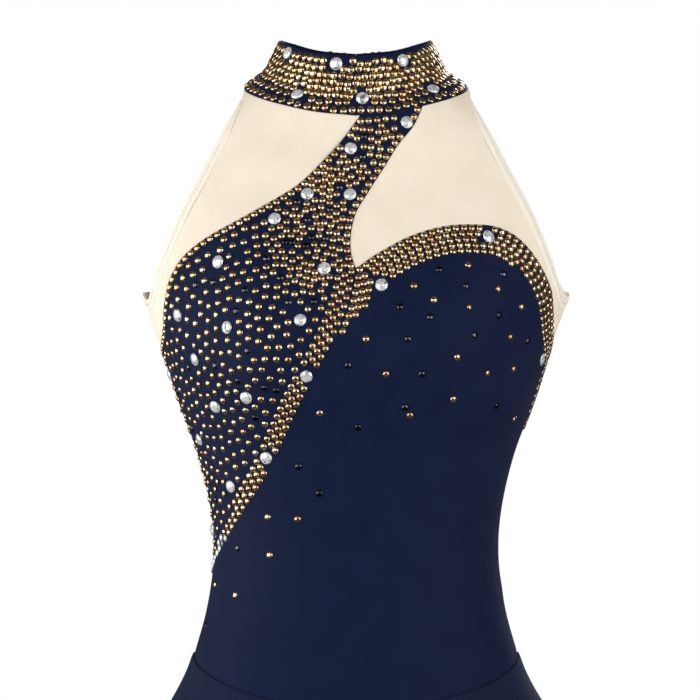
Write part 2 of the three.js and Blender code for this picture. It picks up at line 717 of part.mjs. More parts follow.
// The turned edge of each armhole, a narrow band laid on the yoke from the neck round to the back
function armholeBand(front, back, sense) {
  const line = [...front.slice(0, -1), ...back.slice().reverse()];
  const edge = line.map(([angle, z]) => figure(angle, z));
  const normals = line.map(([angle, z]) => figureNormal(angle, z));
  const last = line.length - 1;
  const inside = edge.map((point, i) => {
    const tangent = edge[Math.min(i + 1, last)].clone().sub(edge[Math.max(i - 1, 0)]);
    const way = new THREE.Vector3().crossVectors(normals[i], tangent).normalize();
    const share = Math.min(1, (Math.min(i, last - i) + 1) / 3);
    const target = point.clone().addScaledVector(way, sense * EDGE_WIDTH * share);
    const angle = Math.atan2(target.x, -target.y);
    return figure(angle, target.z);
  });
  const first = SEAM_GAP / 2 / EDGE_WIDTH;
  const outer = edge.map((point, i) => point.clone().lerp(inside[i], first));
  const rows = sense < 0 ? [outer, inside] : [inside, outer];
  const foot = MESH_WALL / 2 + EDGE_GAP;
  return wall(rows, [normals, normals], foot, foot + EDGE_WALL);
}
const belowCollar = ([angle, z]) => z < collarFootZ(angle) - EDGE_BELOW_COLLAR;
const frontBand = armhole(frontArmholePoints, DIVISIONS.armholeEdge).filter(belowCollar);
const backBand = armhole(backArmholePoints, DIVISIONS.armholeEdge).filter(belowCollar);
add("armhole_edge_left", armholeBand(frontBand, backBand, -1), SHEER);
add("armhole_edge_right", armholeBand(mirrored(frontBand), mirrored(backBand), 1), SHEER);

// Skirt: it leaves the seam just outside the bodice, flares, and falls in uneven flutes.
const flareOut = column(FLARE, "drop", "out");
function fluteWave(angle) {
  const { count, shift, uneven, second } = FLUTES;
  const lead = Math.cos(count * angle + shift * Math.sin(2 * angle + 0.4));
  return lead * (1 + uneven * Math.sin(5 * angle + 1)) + second * Math.cos(7 * angle + 2);
}
const skirtStand = STRETCH_WALL / 2 + LAYER_GAP + SKIRT_WALL / 2;
function skirtPoint(angle, share) {
  const top = waistZ(angle);
  const start = figure(angle, top).addScaledVector(figureNormal(angle, top), skirtStand);
  const drop = Math.max(share, 0) * (top - HEM_Z);
  const out = flareOut(drop) + FLUTES.depth * (drop / FLUTES.at) ** FLUTES.growth * fluteWave(angle);
  const way = new THREE.Vector3(Math.sin(angle), -Math.cos(angle), 0);
  start.addScaledVector(way, out);
  start.z = top - drop - LAYER_GAP;
  return start;
}
const skirtNormal = (angle, share) => outward(skirtPoint, angle, share, 0.01, 0.02).negate();
function skirtHalf(from, to) {
  const { skirtColumns, skirtRows } = DIVISIONS;
  const shares = Array.from({ length: skirtRows + 1 }, (_, i) => (i / skirtRows) ** SKIRT_ROW_EASE);
  const angles = Array.from({ length: skirtColumns + 1 }, (_, j) => from + ((to - from) * j) / skirtColumns);
  const points = shares.map((share) => angles.map((angle) => skirtPoint(angle, share)));
  const normals = shares.map((share) => angles.map((angle) => skirtNormal(angle, share)));
  return seamedWall(points, normals, SKIRT_WALL);
}
add("skirt_front", skirtHalf(-SIDE, SIDE), NAVY);
add("skirt_back", skirtHalf(SIDE, 3 * SIDE), NAVY);

// Briefs, whose front and back meet at the sides and at the crotch, where y is 0. Each row is a
// quarter of an oval on each side of its middle, and the top row is the skirt seam.
const ON_SIDE = 1e-3;
function briefsHalf(table, from, to) {
  const value = (name) => column(table, "along", name);
  const [middleY, middleZ, half, edgeY, edgeZ] = ["middleY", "middleZ", "half", "edgeY", "edgeZ"].map(value);
  const { briefsRows } = DIVISIONS;
  const sense = from < 0 ? 1 : -1;
  const legEdgeY = (along) => sense * Math.min(sense * edgeY(along), 0);
  const points = Array.from({ length: briefsRows + 1 }, (_, i) => {
    const along = i / briefsRows;
    return Array.from({ length: cupEdge + 1 }, (__, j) => {
      const angle = from + ((to - from) * j) / cupEdge;
      if (i === 0) return figure(angle, waistZ(angle));
      const lean = ((2 * j) / cupEdge - 1) * SIDE;
      const level = Math.cos(lean);
      return new THREE.Vector3(
        sense * half(along) * Math.sin(lean),
        THREE.MathUtils.lerp(legEdgeY(along), middleY(along), level),
        THREE.MathUtils.lerp(edgeZ(along), middleZ(along), level),
      );
    });
  });
  const normals = gridNormals(points);
  points.forEach((row, i) =>
    row.forEach((point, j) => {
      if (Math.abs(point.y) < ON_SIDE) normals[i][j].setY(0).normalize();
    }),
  );
  return seamedWall(points, normals, STRETCH_WALL);
}
add("briefs_front", briefsHalf(BRIEFS_FRONT, -SIDE, SIDE), NAVY);
add("briefs_back", briefsHalf(BRIEFS_BACK, SIDE, 3 * SIDE), NAVY);

export default dress;
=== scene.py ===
import math

import bpy
import numpy as np
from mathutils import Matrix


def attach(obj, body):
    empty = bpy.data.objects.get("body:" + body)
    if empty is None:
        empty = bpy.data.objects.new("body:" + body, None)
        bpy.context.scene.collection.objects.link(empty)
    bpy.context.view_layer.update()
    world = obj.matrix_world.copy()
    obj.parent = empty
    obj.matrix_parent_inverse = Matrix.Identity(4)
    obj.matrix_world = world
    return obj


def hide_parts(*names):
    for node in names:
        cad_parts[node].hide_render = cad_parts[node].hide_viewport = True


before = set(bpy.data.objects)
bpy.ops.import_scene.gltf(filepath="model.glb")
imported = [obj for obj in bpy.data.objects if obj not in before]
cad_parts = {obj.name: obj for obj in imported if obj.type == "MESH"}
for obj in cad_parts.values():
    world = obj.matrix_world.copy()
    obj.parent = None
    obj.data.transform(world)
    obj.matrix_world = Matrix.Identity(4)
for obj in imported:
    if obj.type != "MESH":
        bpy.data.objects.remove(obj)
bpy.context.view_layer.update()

# The view, the light and the floor. A long lens looks level at the bodice from five metres away. Two
# large soft boxes light it from the front, with three smaller ones beside, above and behind it, and
# a plain pale floor lies far below.
CAMERA_DISTANCE = 5.0
VIEW_WIDTH = 0.525
SENSOR_WIDTH = 36
camera = bpy.data.objects.new("camera", bpy.data.cameras.new("camera"))
bpy.context.scene.collection.objects.link(camera)
bpy.context.scene.camera = camera
camera.location = (-0.0045, -CAMERA_DISTANCE, -0.195)
camera.rotation_euler = (math.radians(90), 0, 0)
camera.data.sensor_width = SENSOR_WIDTH
camera.data.lens = SENSOR_WIDTH * CAMERA_DISTANCE / VIEW_WIDTH
camera.data.clip_end = 200
bpy.context.scene.view_settings.view_transform = "Standard"


def soft_box(name, place, aim, size, power):
    """A rectangular area light at place, turned to face aim, which the camera doesn't see."""
    lamp = bpy.data.lights.new(name, "AREA")
    lamp.shape, lamp.size, lamp.size_y, lamp.energy = "RECTANGLE", size[0], size[1], power
    box = bpy.data.objects.new(name, lamp)
    bpy.context.scene.collection.objects.link(box)
    box.location = place
    way = np.array(aim, float) - np.array(place, float)
    box.rotation_mode = "XYZ"
    box.rotation_euler = (
        math.atan2(math.hypot(way[0], way[1]), -way[2]), 0, math.atan2(-way[0], way[1]))
    box.visible_camera = False


soft_box("key_box", (-2.55, -2.1, 0.1), (0, 0, -0.3), (2.9, 3.2), 65)
soft_box("fill_box", (2.55, -2.1, 0.1), (0, 0, -0.3), (2.9, 3.2), 64)
soft_box("side_box", (-3.0, 0.3, -0.3), (0, 0, -0.4), (1.2, 2.2), 36)
soft_box("front_box", (0.4, -4.2, 1.4), (0, 0, -0.3), (1.0, 0.8), 12)
soft_box("rear_box", (0.8, 2.8, 0.9), (0, 0, -0.3), (1.6, 1.6), 30)

world = bpy.data.worlds.new("studio")
bpy.context.scene.world = world
world.use_nodes = True
studio = world.node_tree
studio.nodes.clear()
seen = studio.nodes.new("ShaderNodeLightPath")
room = studio.nodes.new("ShaderNodeBackground")
room.inputs["Strength"].default_value = 0.5
for ray, strength in (("Is Glossy Ray", 0.04), ("Is Camera Ray", 1.0)):
    wall, either = studio.nodes.new("ShaderNodeBackground"), studio.nodes.new("ShaderNodeMixShader")
    wall.inputs["Color"].default_value = (1, 1, 1, 1)
    wall.inputs["Strength"].default_value = strength
    studio.links.new(seen.outputs[ray], either.inputs[0])
    studio.links.new(room.outputs[0], either.inputs[1])
    studio.links.new(wall.outputs[0], either.inputs[2])
    room = either
sky = studio.nodes.new("ShaderNodeOutputWorld")
studio.links.new(room.outputs[0], sky.inputs[0])


def new_material(name):
    """A new material, with its node tree and its shader."""
    material = bpy.data.materials.new(name)
    material.use_nodes = True
    return material, material.node_tree, material.node_tree.nodes["Principled BSDF"]


FLOOR_HALF, FLOOR_Z = 14, -1.6
floor_mesh = bpy.data.meshes.new("floor")
floor_mesh.from_pydata(
    [(x * FLOOR_HALF, y * FLOOR_HALF, FLOOR_Z) for x, y in ((-1, -1), (1, -1), (1, 1), (-1, 1))],
    [], [(0, 1, 2, 3)])
floor_paint, _, floor_shader = new_material("floor_paint")
floor_shader.inputs["Base Color"].default_value = (0.86, 0.86, 0.85, 1)
floor_shader.inputs["Roughness"].default_value = 0.9
floor_mesh.materials.append(floor_paint)
floor = bpy.data.objects.new("floor", floor_mesh)
bpy.context.scene.collection.objects.link(floor)
floor.visible_glossy = False

# Halter front: one panel of navy stretch knit that hangs from the collar by a slanting band, covers
# the wearer's right side of the bust and narrows to a point at the side seam. Sizes are in
# millimetres and angles in radians, 0 in front and positive towards the wearer's left.
GIRTH = 115
WALL = 1.6
SEAM_GAP = 0.03
FINE = 6
SIDE = math.pi / 2
UNDERARM_Z = -152.5
SIDE_TOP_Z = -198
SWEEP_END_Z = -364
WAIST_SIDE_Z = -422
CUP_DEPTH = 23
CUP_OUT = 67
CUP_DOWN = 190
FIGURE = np.array([
    # down, half width, front depth, back depth, squareness
    (-12, 74, 56, 59, 2.0), (-3, 82, 58, 63, 2.0), (10, 98, 61, 70, 2.0), (22, 113, 63, 76, 2.05),
    (45, 136, 67, 87, 2.1), (75, 153, 74, 96, 2.2), (110, 161, 84, 102, 2.25),
    (152, 159, 94, 104, 2.3), (187, 147.5, 99, 101, 2.3), (210, 140, 99.5, 97, 2.3),
    (232, 132.8, 98, 93, 2.3), (277, 116.6, 94, 85, 2.25), (340, 106, 88, 78, 2.2),
    (390, 111.4, 89, 85, 2.2), (422, 120.2, 92, 94, 2.2), (470, 134, 96, 108, 2.2),
    (520, 145, 96, 114, 2.2)])
RINGS = np.array([
    # turn in degrees, collar foot, collar top, skirt seam
    (0, -21.5, 23, -463), (30, -17.6, 25.2, -455.5), (50, -11.6, 29, -446), (70, -4.2, 33.6, -433),
    (90, 3, 37, WAIST_SIDE_Z), (120, 8, 36, -430), (150, 9.6, 31.5, -438), (180, 10, 29.5, -441)])


def smooth_line(xs, ys):
    """A line through points: a cubic between each two that meets the slope at both, which is the
    mean of the slopes to its neighbours, weighted towards the nearer one."""
    xs, ys = np.asarray(xs, float), np.asarray(ys, float)
    step = np.diff(xs)
    secant = np.diff(ys) / step
    inner = (step[1:] * secant[:-1] + step[:-1] * secant[1:]) / (step[:-1] + step[1:])
    slope = np.concatenate([secant[:1], inner, secant[-1:]])

    def at(x):
        i = np.clip(np.searchsorted(xs, x) - 1, 0, len(xs) - 2)
        t = np.clip((x - xs[i]) / step[i], 0, 1)
        rest = 1 - t
        return ((1 + 2 * t) * rest * rest * ys[i] + t * t * (3 - 2 * t) * ys[i + 1]
                + t * rest * step[i] * (rest * slope[i] - t * slope[i + 1]))

    return at


half_width, front_depth, back_depth, squareness = (
    smooth_line(FIGURE[:, 0], FIGURE[:, k]) for k in (1, 2, 3, 4))
foot_line, top_line, waist_line = (smooth_line(RINGS[:, 0], RINGS[:, k]) for k in (1, 2, 3))


def turn_of(angle):
    """How far round from the middle of the front an angle is, in degrees, alike on both sides."""
    return np.degrees(np.abs(np.arctan2(np.sin(angle), np.cos(angle))))


def collar_foot(angle):
    """The height of the collar's foot at an angle."""
    return foot_line(turn_of(angle))


def waist(angle):
    """The height of the skirt's seam at an angle."""
    return waist_line(turn_of(angle))


def oval(angle, half, depth, square):
    """The radius of an oval with squared shoulders: the power sum of its two half axes."""
    across = np.abs(np.sin(angle) / half) ** square
    along = np.abs(np.cos(angle) / depth) ** square
    return (across + along) ** (-1 / square)


def cup_depth(x, z, facing):
    """How far the cups stand out: a bell across each, wider inward, times a bell down, wider
    upward, fading out towards the sides."""
    def bell(d, before, after):
        return np.exp(-0.5 * (d / np.where(d > 0, after, before)) ** 2)

    fade = np.clip(facing / 0.35, 0, 1)
    fade = fade * fade * (3 - 2 * fade)
    both = bell(x - CUP_OUT, 48, 34) + bell(-x - CUP_OUT, 48, 34)
    return CUP_DEPTH * both * bell(-z - CUP_DOWN, 56, 38) * fade


def alike(*values):
    """Numbers and arrays as arrays of one shape."""
    return np.broadcast_arrays(*(np.asarray(value, float) for value in values))


def figure(angle, z):
    """The form that the cloth is stretched on: an oval at each height, with the cups in front."""
    angle, z = alike(angle, z)
    facing = np.cos(angle)
    depth = np.where(facing > 0, front_depth(-z), back_depth(-z))
    radius = oval(angle, half_width(-z), depth, squareness(-z))
    x = radius * np.sin(angle)
    return np.stack([x, -radius * facing - cup_depth(x, z, facing), z], -1)


def unit(vectors):
    """Vectors cut to length 1."""
    return vectors / np.maximum(np.linalg.norm(vectors, axis=-1, keepdims=True), 1e-9)


def slopes(angle, z):
    """The two slopes of the form, along the angle and along the height."""
    turn_slope = (figure(angle + 0.01, z) - figure(angle - 0.01, z)) / 0.02
    return turn_slope, figure(angle, z + 0.5) - figure(angle, z - 0.5)


def form_normal(angle, z):
    """The way out of the form, square to its two slopes."""
    return unit(np.cross(*slopes(angle, z)))


def angle_of(x, z, on_back=False):
    """The angle at which the front or the back of the form has a given x, found by halving."""
    x, z = np.asarray(x, float), np.asarray(z, float)
    low, high = np.zeros_like(x), np.full_like(x, SIDE)
    for _ in range(40):
        middle = (low + high) / 2
        inside = figure(math.pi - middle if on_back else middle, z)[..., 0] < np.abs(x)
        low, high = np.where(inside, middle, low), np.where(inside, high, middle)
    return np.where(x < 0, -1, 1) * (math.pi - low if on_back else low)


def on_front(table, behind=False):
    """Angle and height of places on the form's front, or behind, from their x and height."""
    x, z = np.array(table, float).T
    return np.stack([angle_of(x, z, behind), z], -1)


def on_back(table):
    """Angle and height of places on the form's back, from their x and height."""
    return on_front(table, True)


def lengths_along(points):
    """How far along a line of points each of them is."""
    return np.concatenate([[0], np.cumsum(np.linalg.norm(np.diff(points, axis=0), axis=1))])


def seam(points, divisions, ease=1.0):
    """A seam as a smooth line through its points, cut into equal divisions, or ones that shorten
    towards its end where ease is more than 1."""
    points = np.asarray(points, float)
    lengths = lengths_along(points * (GIRTH, 1))
    at = lengths[-1] * (1 - (1 - np.arange(divisions * FINE + 1) / (divisions * FINE)) ** ease)
    return np.stack([smooth_line(lengths, points[:, k])(at) for k in (0, 1)], -1)


def ring_seam(height, start, end, divisions):
    """A seam round the form from one angle to another, at the height given for each angle."""
    angle = np.linspace(start, end, divisions * FINE + 1)
    return np.stack([angle, height(angle)], -1)


def joined(*lines):
    """One line out of several, each of which starts where the one before it ends."""
    return np.concatenate([lines[0], *(line[1:] for line in lines[1:])])


def coons(top, bottom, left, right):
    """A surface between four lines: the sum of the two ruled ones less the bilinear one."""
    v = np.linspace(0, 1, len(left))[:, None, None]
    u = np.linspace(0, 1, len(top))[None, :, None]
    ruled = (1 - v) * top[None] + v * bottom[None] + (1 - u) * left[:, None] + u * right[:, None]
    corners = ((1 - u) * ((1 - v) * top[0] + v * bottom[0]) + u * ((1 - v) * top[-1] + v * bottom[-1]))
    return ruled - corners


def evened(flat, plain, rounds):
    """Moves each inner point of a grid halfway to the mean of its neighbours, after the plain
    rounds weighted by how far apart the grid's lines run there, so that no cell folds over."""
    for turn in range(rounds):
        across = (flat[1:-1, 2:] - flat[1:-1, :-2]) / 2
        down = (flat[2:, 1:-1] - flat[:-2, 1:-1]) / 2
        skew = (flat[2:, 2:] - flat[2:, :-2] - flat[:-2, 2:] + flat[:-2, :-2]) / 4
        sideways, upright = (down ** 2).sum(-1, keepdims=True), (across ** 2).sum(-1, keepdims=True)
        twist = -2 * (across * down).sum(-1, keepdims=True)
        if turn < plain:
            sideways, upright, twist = 1.0, 1.0, 0.0
        mean = (sideways * (flat[1:-1, 2:] + flat[1:-1, :-2])
                + upright * (flat[2:, 1:-1] + flat[:-2, 1:-1]) + twist * skew) / (2 * (sideways + upright))
        flat = flat.copy()
        flat[1:-1, 1:-1] += 0.45 * (mean - flat[1:-1, 1:-1])
    return flat


def panel(top, bottom, left, right):
    """A grid of angle and height between four seams: a coarse one is evened, drawn out to the fine
    lines, fitted to the exact seams and evened a little more."""
    scale = np.array([GIRTH, 1.0])
    edges = [line * scale for line in (top, bottom, left, right)]
    coarse = evened(coons(*[line[::FINE] for line in edges]), 90, 420)
    rows = np.linspace(0, len(coarse) - 1, len(left))
    columns = np.linspace(0, coarse.shape[1] - 1, len(top))
    i = np.minimum(rows.astype(int), len(coarse) - 2)
    j = np.minimum(columns.astype(int), coarse.shape[1] - 2)
    v, u = (rows - i)[:, None, None], (columns - j)[None, :, None]
    corner = [[coarse[i + a][:, j + b] for b in (0, 1)] for a in (0, 1)]
    fine = ((1 - v) * ((1 - u) * corner[0][0] + u * corner[0][1])
            + v * ((1 - u) * corner[1][0] + u * corner[1][1]))
    gap = [edges[0] - fine[0], edges[1] - fine[-1], edges[2] - fine[:, 0], edges[3] - fine[:, -1]]
    return evened(fine + coons(*gap), 0, 40) / scale


def creased(grid, creases):
    """How far soft troughs and ridges move the cloth: for each, its height times a bell of the
    distance to its line, fading towards both ends. A crease is where it starts and ends, as x and
    height, then its height, its half width and 1 where it is on the back."""
    place = grid * (GIRTH, 1)
    total = np.zeros(grid.shape[:-1])
    for x1, z1, x2, z2, height, width, behind in creases:
        ends = on_front([(x1, z1), (x2, z2)], behind) * (GIRTH, 1)
        if behind:
            ends[:, 0] = np.where(place[..., 0].mean() > 0, ends[:, 0] % (2 * math.pi * GIRTH), ends[:, 0])
        way = ends[1] - ends[0]
        t = ((place - ends[0]) @ way) / (way @ way)
        nearest = ends[0] + np.clip(t, 0, 1)[..., None] * way
        off = np.linalg.norm(place - nearest, axis=-1)
        total += height * np.exp(-0.5 * (off / width) ** 2) * (0.55 + 0.45 * np.cos((t - 0.5) * 2.2))
    return total


EVERY = slice(None)
BORDERS = [((EVERY, 0), 1), ((EVERY, -1), -1), ((0, EVERY), -1), ((-1, EVERY), 1)]


def set_back(points, normals, gap):
    """Moves the border of a grid inward along the cloth, to leave room for the seam."""
    moved = points.copy()
    for border, sense in BORDERS:
        way = np.cross(normals[border], np.gradient(points[border], axis=0))
        moved[border] += sense * gap * unit(way)
    return moved


def shell(points, normals, inner, outer, rounding):
    """Vertices and faces of a thin shell: an outer face, an inner face and a rim. The outer face is
    lower by the rounding at its border."""
    rows, columns = points.shape[:2]
    rise = np.full((rows, columns, 1), outer)
    for border, _ in BORDERS:
        rise[border] = outer - rounding
    vertices = np.concatenate([(points + rise * normals).reshape(-1, 3),
                               (points + inner * normals).reshape(-1, 3)])
    index = np.arange(rows * columns).reshape(rows, columns)
    face = np.stack([index[:-1, :-1], index[1:, :-1], index[1:, 1:], index[:-1, 1:]], -1).reshape(-1, 4)
    loop = np.concatenate([index[:-1, 0], index[-1, :-1], index[:0:-1, -1], index[0, ::-1]])
    under = rows * columns
    rim = np.stack([loop[1:], loop[:-1], loop[:-1] + under, loop[1:] + under], -1)
    return vertices, [np.concatenate([face, face[:, ::-1] + under, rim])]


MILLIMETRE = 0.001


def new_piece(name, vertices, faces, material, uv=None, tone=None, smooth=True):
    """A piece from vertices in millimetres and arrays of faces with three, four or more corners."""
    mesh = bpy.data.meshes.new(name)
    mesh.vertices.add(len(vertices))
    mesh.vertices.foreach_set("co", (np.asarray(vertices) * MILLIMETRE).astype(np.float32).ravel())
    corners = np.concatenate([part.ravel() for part in faces]).astype(np.int32)
    sizes = np.concatenate([np.full(len(part), part.shape[1]) for part in faces])
    mesh.loops.add(len(corners))
    mesh.loops.foreach_set("vertex_index", corners)
    mesh.polygons.add(len(sizes))
    mesh.polygons.foreach_set("loop_start", (np.cumsum(sizes) - sizes).astype(np.int32))
    mesh.update(calc_edges=True)
    if uv is not None:
        layer = mesh.uv_layers.new(name="cloth")
        layer.data.foreach_set("uv", (uv[corners] * MILLIMETRE).astype(np.float32).ravel())
    if tone is not None:
        spot = "POINT" if len(tone) == len(vertices) else "FACE"
        mesh.attributes.new("tone", "FLOAT", spot).data.foreach_set("value", tone.astype(np.float32))
    mesh.validate()
    mesh.materials.append(material)
    if smooth:
        mesh.shade_smooth()
        mesh.set_sharp_from_angle(angle=math.radians(50))
    piece = bpy.data.objects.new(name, mesh)
    bpy.context.scene.collection.objects.link(piece)
    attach(piece, "root")
    return piece


def cloth_piece(node, points, normals, wall, rounding, uv, material):
    """A grid of cloth, set back at its border, as a thin shell that stands for its CAD node."""
    points = set_back(points, normals, SEAM_GAP / 2)
    vertices, faces = shell(points, normals, -wall / 2, wall / 2, rounding)
    uv = np.tile(uv.reshape(-1, 2), (2, 1))
    piece = new_piece(node + "_cloth", vertices, faces, material, uv)
    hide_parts(node)
    return piece


def panel_on_form(node, grid, wall, creases, material):
    """A cloth panel: the form at each point of its grid, moved by the creases, as a thin shell."""
    places = grid[..., 0], grid[..., 1]
    normals = form_normal(*places)
    points = figure(*places) + creased(grid, creases)[..., None] * normals
    return cloth_piece(node, points, normals, wall, 0.3, grid * (GIRTH, 1), material)


def stitches(name, starts, ends, outs, radius, material):
    """Sewn thread: from each start to its end a thin round arc, which stands out by the sine of its
    share of the way and dips into the cloth at both ends."""
    rings, corners = 5, 5
    way = ends - starts
    side = unit(np.cross(way, outs))
    share = np.linspace(0, 1, rings)[:, None]
    turn = np.arange(corners)[:, None] * 2 * math.pi / corners
    middle = starts[:, None] + share * way[:, None] + radius * (
        1.7 * np.sin(math.pi * share) - 0.7) * outs[:, None]
    ring = radius * (np.cos(turn) * side[:, None] + np.sin(turn) * outs[:, None])
    vertices = middle[:, :, None] + ring[:, None]
    index = np.arange(len(starts) * rings * corners).reshape(-1, rings, corners)
    after = np.roll(index, -1, axis=2)
    sides = np.stack([index[:, :-1], index[:, 1:], after[:, 1:], after[:, :-1]], -1).reshape(-1, 4)
    caps = np.concatenate([index[:, 0], index[:, -1, ::-1]])
    uv = np.stack(alike(share[None] * 2, turn[:, 0], vertices[..., 0])[:2], -1)
    return new_piece(name, vertices.reshape(-1, 3), [sides, caps], material, uv.reshape(-1, 2))


def stepped(line, steps):
    """A line of points or vectors, cut into equal steps of its own divisions."""
    at = np.linspace(0, len(line) - 1, steps + 1)
    return np.stack([np.interp(at, np.arange(len(line)), line[:, k]) for k in range(3)], -1)


def zigzag(name, one, other, outs, pitch, radius, material):
    """Stitches that run to and fro between two lines, with two of them to each pitch."""
    steps = 2 * int(np.linalg.norm(np.diff(one, axis=0), axis=1).sum() / pitch)
    odd = (np.arange(steps + 1) % 2)[:, None]
    corners = (1 - odd) * stepped(one, steps) + odd * stepped(other, steps)
    ways_out = unit(stepped(outs, steps)[:-1])
    return stitches(name, corners[:-1], corners[1:], ways_out, radius, material)


def calc(tree, operation, *values):
    """A Math node, whose inputs are sockets or numbers."""
    node = tree.nodes.new("ShaderNodeMath")
    node.operation = operation
    for socket, value in zip(node.inputs, values):
        if isinstance(value, bpy.types.NodeSocket):
            tree.links.new(value, socket)
        else:
            socket.default_value = value
    return node.outputs[0]


# The knit itself: rows of small loops, with a cloud of slightly uneven tension over them
knit = bpy.data.node_groups.new("Knit loops", "ShaderNodeTree")
knit.interface.new_socket("Vector", in_out="INPUT", socket_type="NodeSocketVector")
knit.interface.new_socket("Loops a metre", in_out="INPUT", socket_type="NodeSocketFloat")
knit.interface.new_socket("Loop height", in_out="OUTPUT", socket_type="NodeSocketFloat")
knit.interface.new_socket("Tension", in_out="OUTPUT", socket_type="NodeSocketFloat")
knit_in, knit_out = knit.nodes.new("NodeGroupInput"), knit.nodes.new("NodeGroupOutput")
axes = knit.nodes.new("ShaderNodeSeparateXYZ")
knit.links.new(knit_in.outputs["Vector"], axes.inputs[0])
wale = calc(knit, "MULTIPLY", axes.outputs[0], knit_in.outputs["Loops a metre"])
course = calc(knit, "MULTIPLY", axes.outputs[1], knit_in.outputs["Loops a metre"])
leg = calc(knit, "ABSOLUTE", calc(knit, "SINE", calc(knit, "MULTIPLY", wale, math.pi)))
lean = calc(knit, "MULTIPLY_ADD", leg, 0.35, course)
bump = calc(knit, "MULTIPLY", leg, calc(knit, "SINE", calc(knit, "MULTIPLY", lean, 2 * math.pi)))
knit.links.new(calc(knit, "MULTIPLY_ADD", bump, 0.5, 0.5), knit_out.inputs["Loop height"])
cloud = knit.nodes.new("ShaderNodeTexNoise")
cloud.inputs["Scale"].default_value = 38
cloud.inputs["Detail"].default_value = 4
knit.links.new(knit_in.outputs["Vector"], cloud.inputs["Vector"])
knit.links.new(cloud.outputs["Fac"], knit_out.inputs["Tension"])


def cloth(name, dark, light, loops, depth, roughness, sheen, specular):
    """A knitted cloth: its tension shades it between two colours and its loops raise it."""
    material, tree, shader = new_material(name)
    place = tree.nodes.new("ShaderNodeTexCoord")
    loops_of = tree.nodes.new("ShaderNodeGroup")
    loops_of.node_tree = knit
    loops_of.inputs["Loops a metre"].default_value = loops
    tree.links.new(place.outputs["UV"], loops_of.inputs["Vector"])
    shade = tree.nodes.new("ShaderNodeValToRGB")
    shade.color_ramp.elements[0].position, shade.color_ramp.elements[0].color = 0.3, (*dark, 1)
    shade.color_ramp.elements[1].position, shade.color_ramp.elements[1].color = 0.7, (*light, 1)
    mixed = calc(tree, "MULTIPLY_ADD", loops_of.outputs["Loop height"], 0.25,
                 calc(tree, "MULTIPLY", loops_of.outputs["Tension"], 0.75))
    tree.links.new(mixed, shade.inputs[0])
    tree.links.new(shade.outputs[0], shader.inputs["Base Color"])
    raised = tree.nodes.new("ShaderNodeBump")
    raised.inputs["Strength"].default_value = 0.5
    raised.inputs["Distance"].default_value = depth
    tree.links.new(loops_of.outputs["Loop height"], raised.inputs["Height"])
    tree.links.new(raised.outputs[0], shader.inputs["Normal"])
    tree.links.new(calc(tree, "MULTIPLY_ADD", loops_of.outputs["Tension"], 0.12, roughness),
                   shader.inputs["Roughness"])
    shader.inputs["Sheen Weight"].default_value = sheen
    shader.inputs["Sheen Roughness"].default_value = 0.5
    shader.inputs["Sheen Tint"].default_value = (*(0.5 + 0.5 * np.array(light) / max(light)), 1)
    shader.inputs["Specular IOR Level"].default_value = specular
    return material


navy = cloth("navy_stretch_knit", (0.0042, 0.0082, 0.031), (0.0056, 0.0106, 0.039), 2100, 0.00012,
             0.5, 0.06, 0.05)

strap_start = float(angle_of(2.8, -21.5))
strap_end = float(angle_of(49.5, -15))
notch = on_front([(-0.1, -135)])


def on_foot(angle):
    """One place on the collar's foot line."""
    return np.array([[angle, float(collar_foot(angle))]])


outer_halter = seam(np.concatenate([on_foot(strap_start), on_front([
    (-10.4, -39.7), (-26, -56.7), (-42.9, -72.7), (-64.3, -86.1), (-87, -98.9), (-110.4, -111.9),
    (-126, -123.9), (-136.5, -139), (-142, -160), (-143.5, -182)]), [[-SIDE, SIDE_TOP_Z]]]), 24)
inner_halter = seam(np.concatenate([on_foot(strap_end), on_front([
    (41.3, -30.8), (31.7, -42.4), (21, -59.7), (9.2, -78.3), (-0.8, -96), (-4, -112),
    (-3.4, -125)]), notch]), 14)
sweep_seam = seam(np.concatenate([notch, on_front([
    (-4.5, -158), (-13.3, -181.8), (-25.8, -206.7), (-39.1, -231.8), (-53.2, -262.8),
    (-67.3, -291), (-83, -316.5), (-96.1, -338)]), [[-SIDE, SWEEP_END_Z]]]), 10)
right_sweep_side = seam([(-SIDE, SIDE_TOP_Z), (-SIDE, SWEEP_END_Z)], 10)
HALTER_CREASES = [
    # from x, z, to x, z, height, half width, on the back
    (-120, -215, -78, -232, -0.7, 6, 0), (-112, -262, -74, -270, 0.6, 7, 0),
    (-104, -300, -82, -304, -0.6, 5, 0), (-30, -120, -62, -128, -0.5, 8, 0)]
strap_top = ring_seam(collar_foot, strap_start, strap_end, 10)
halter_grid = panel(strap_top, right_sweep_side, outer_halter, joined(inner_halter, sweep_seam))
halter = panel_on_form("halter_front", halter_grid, WALL, HALTER_CREASES, navy)

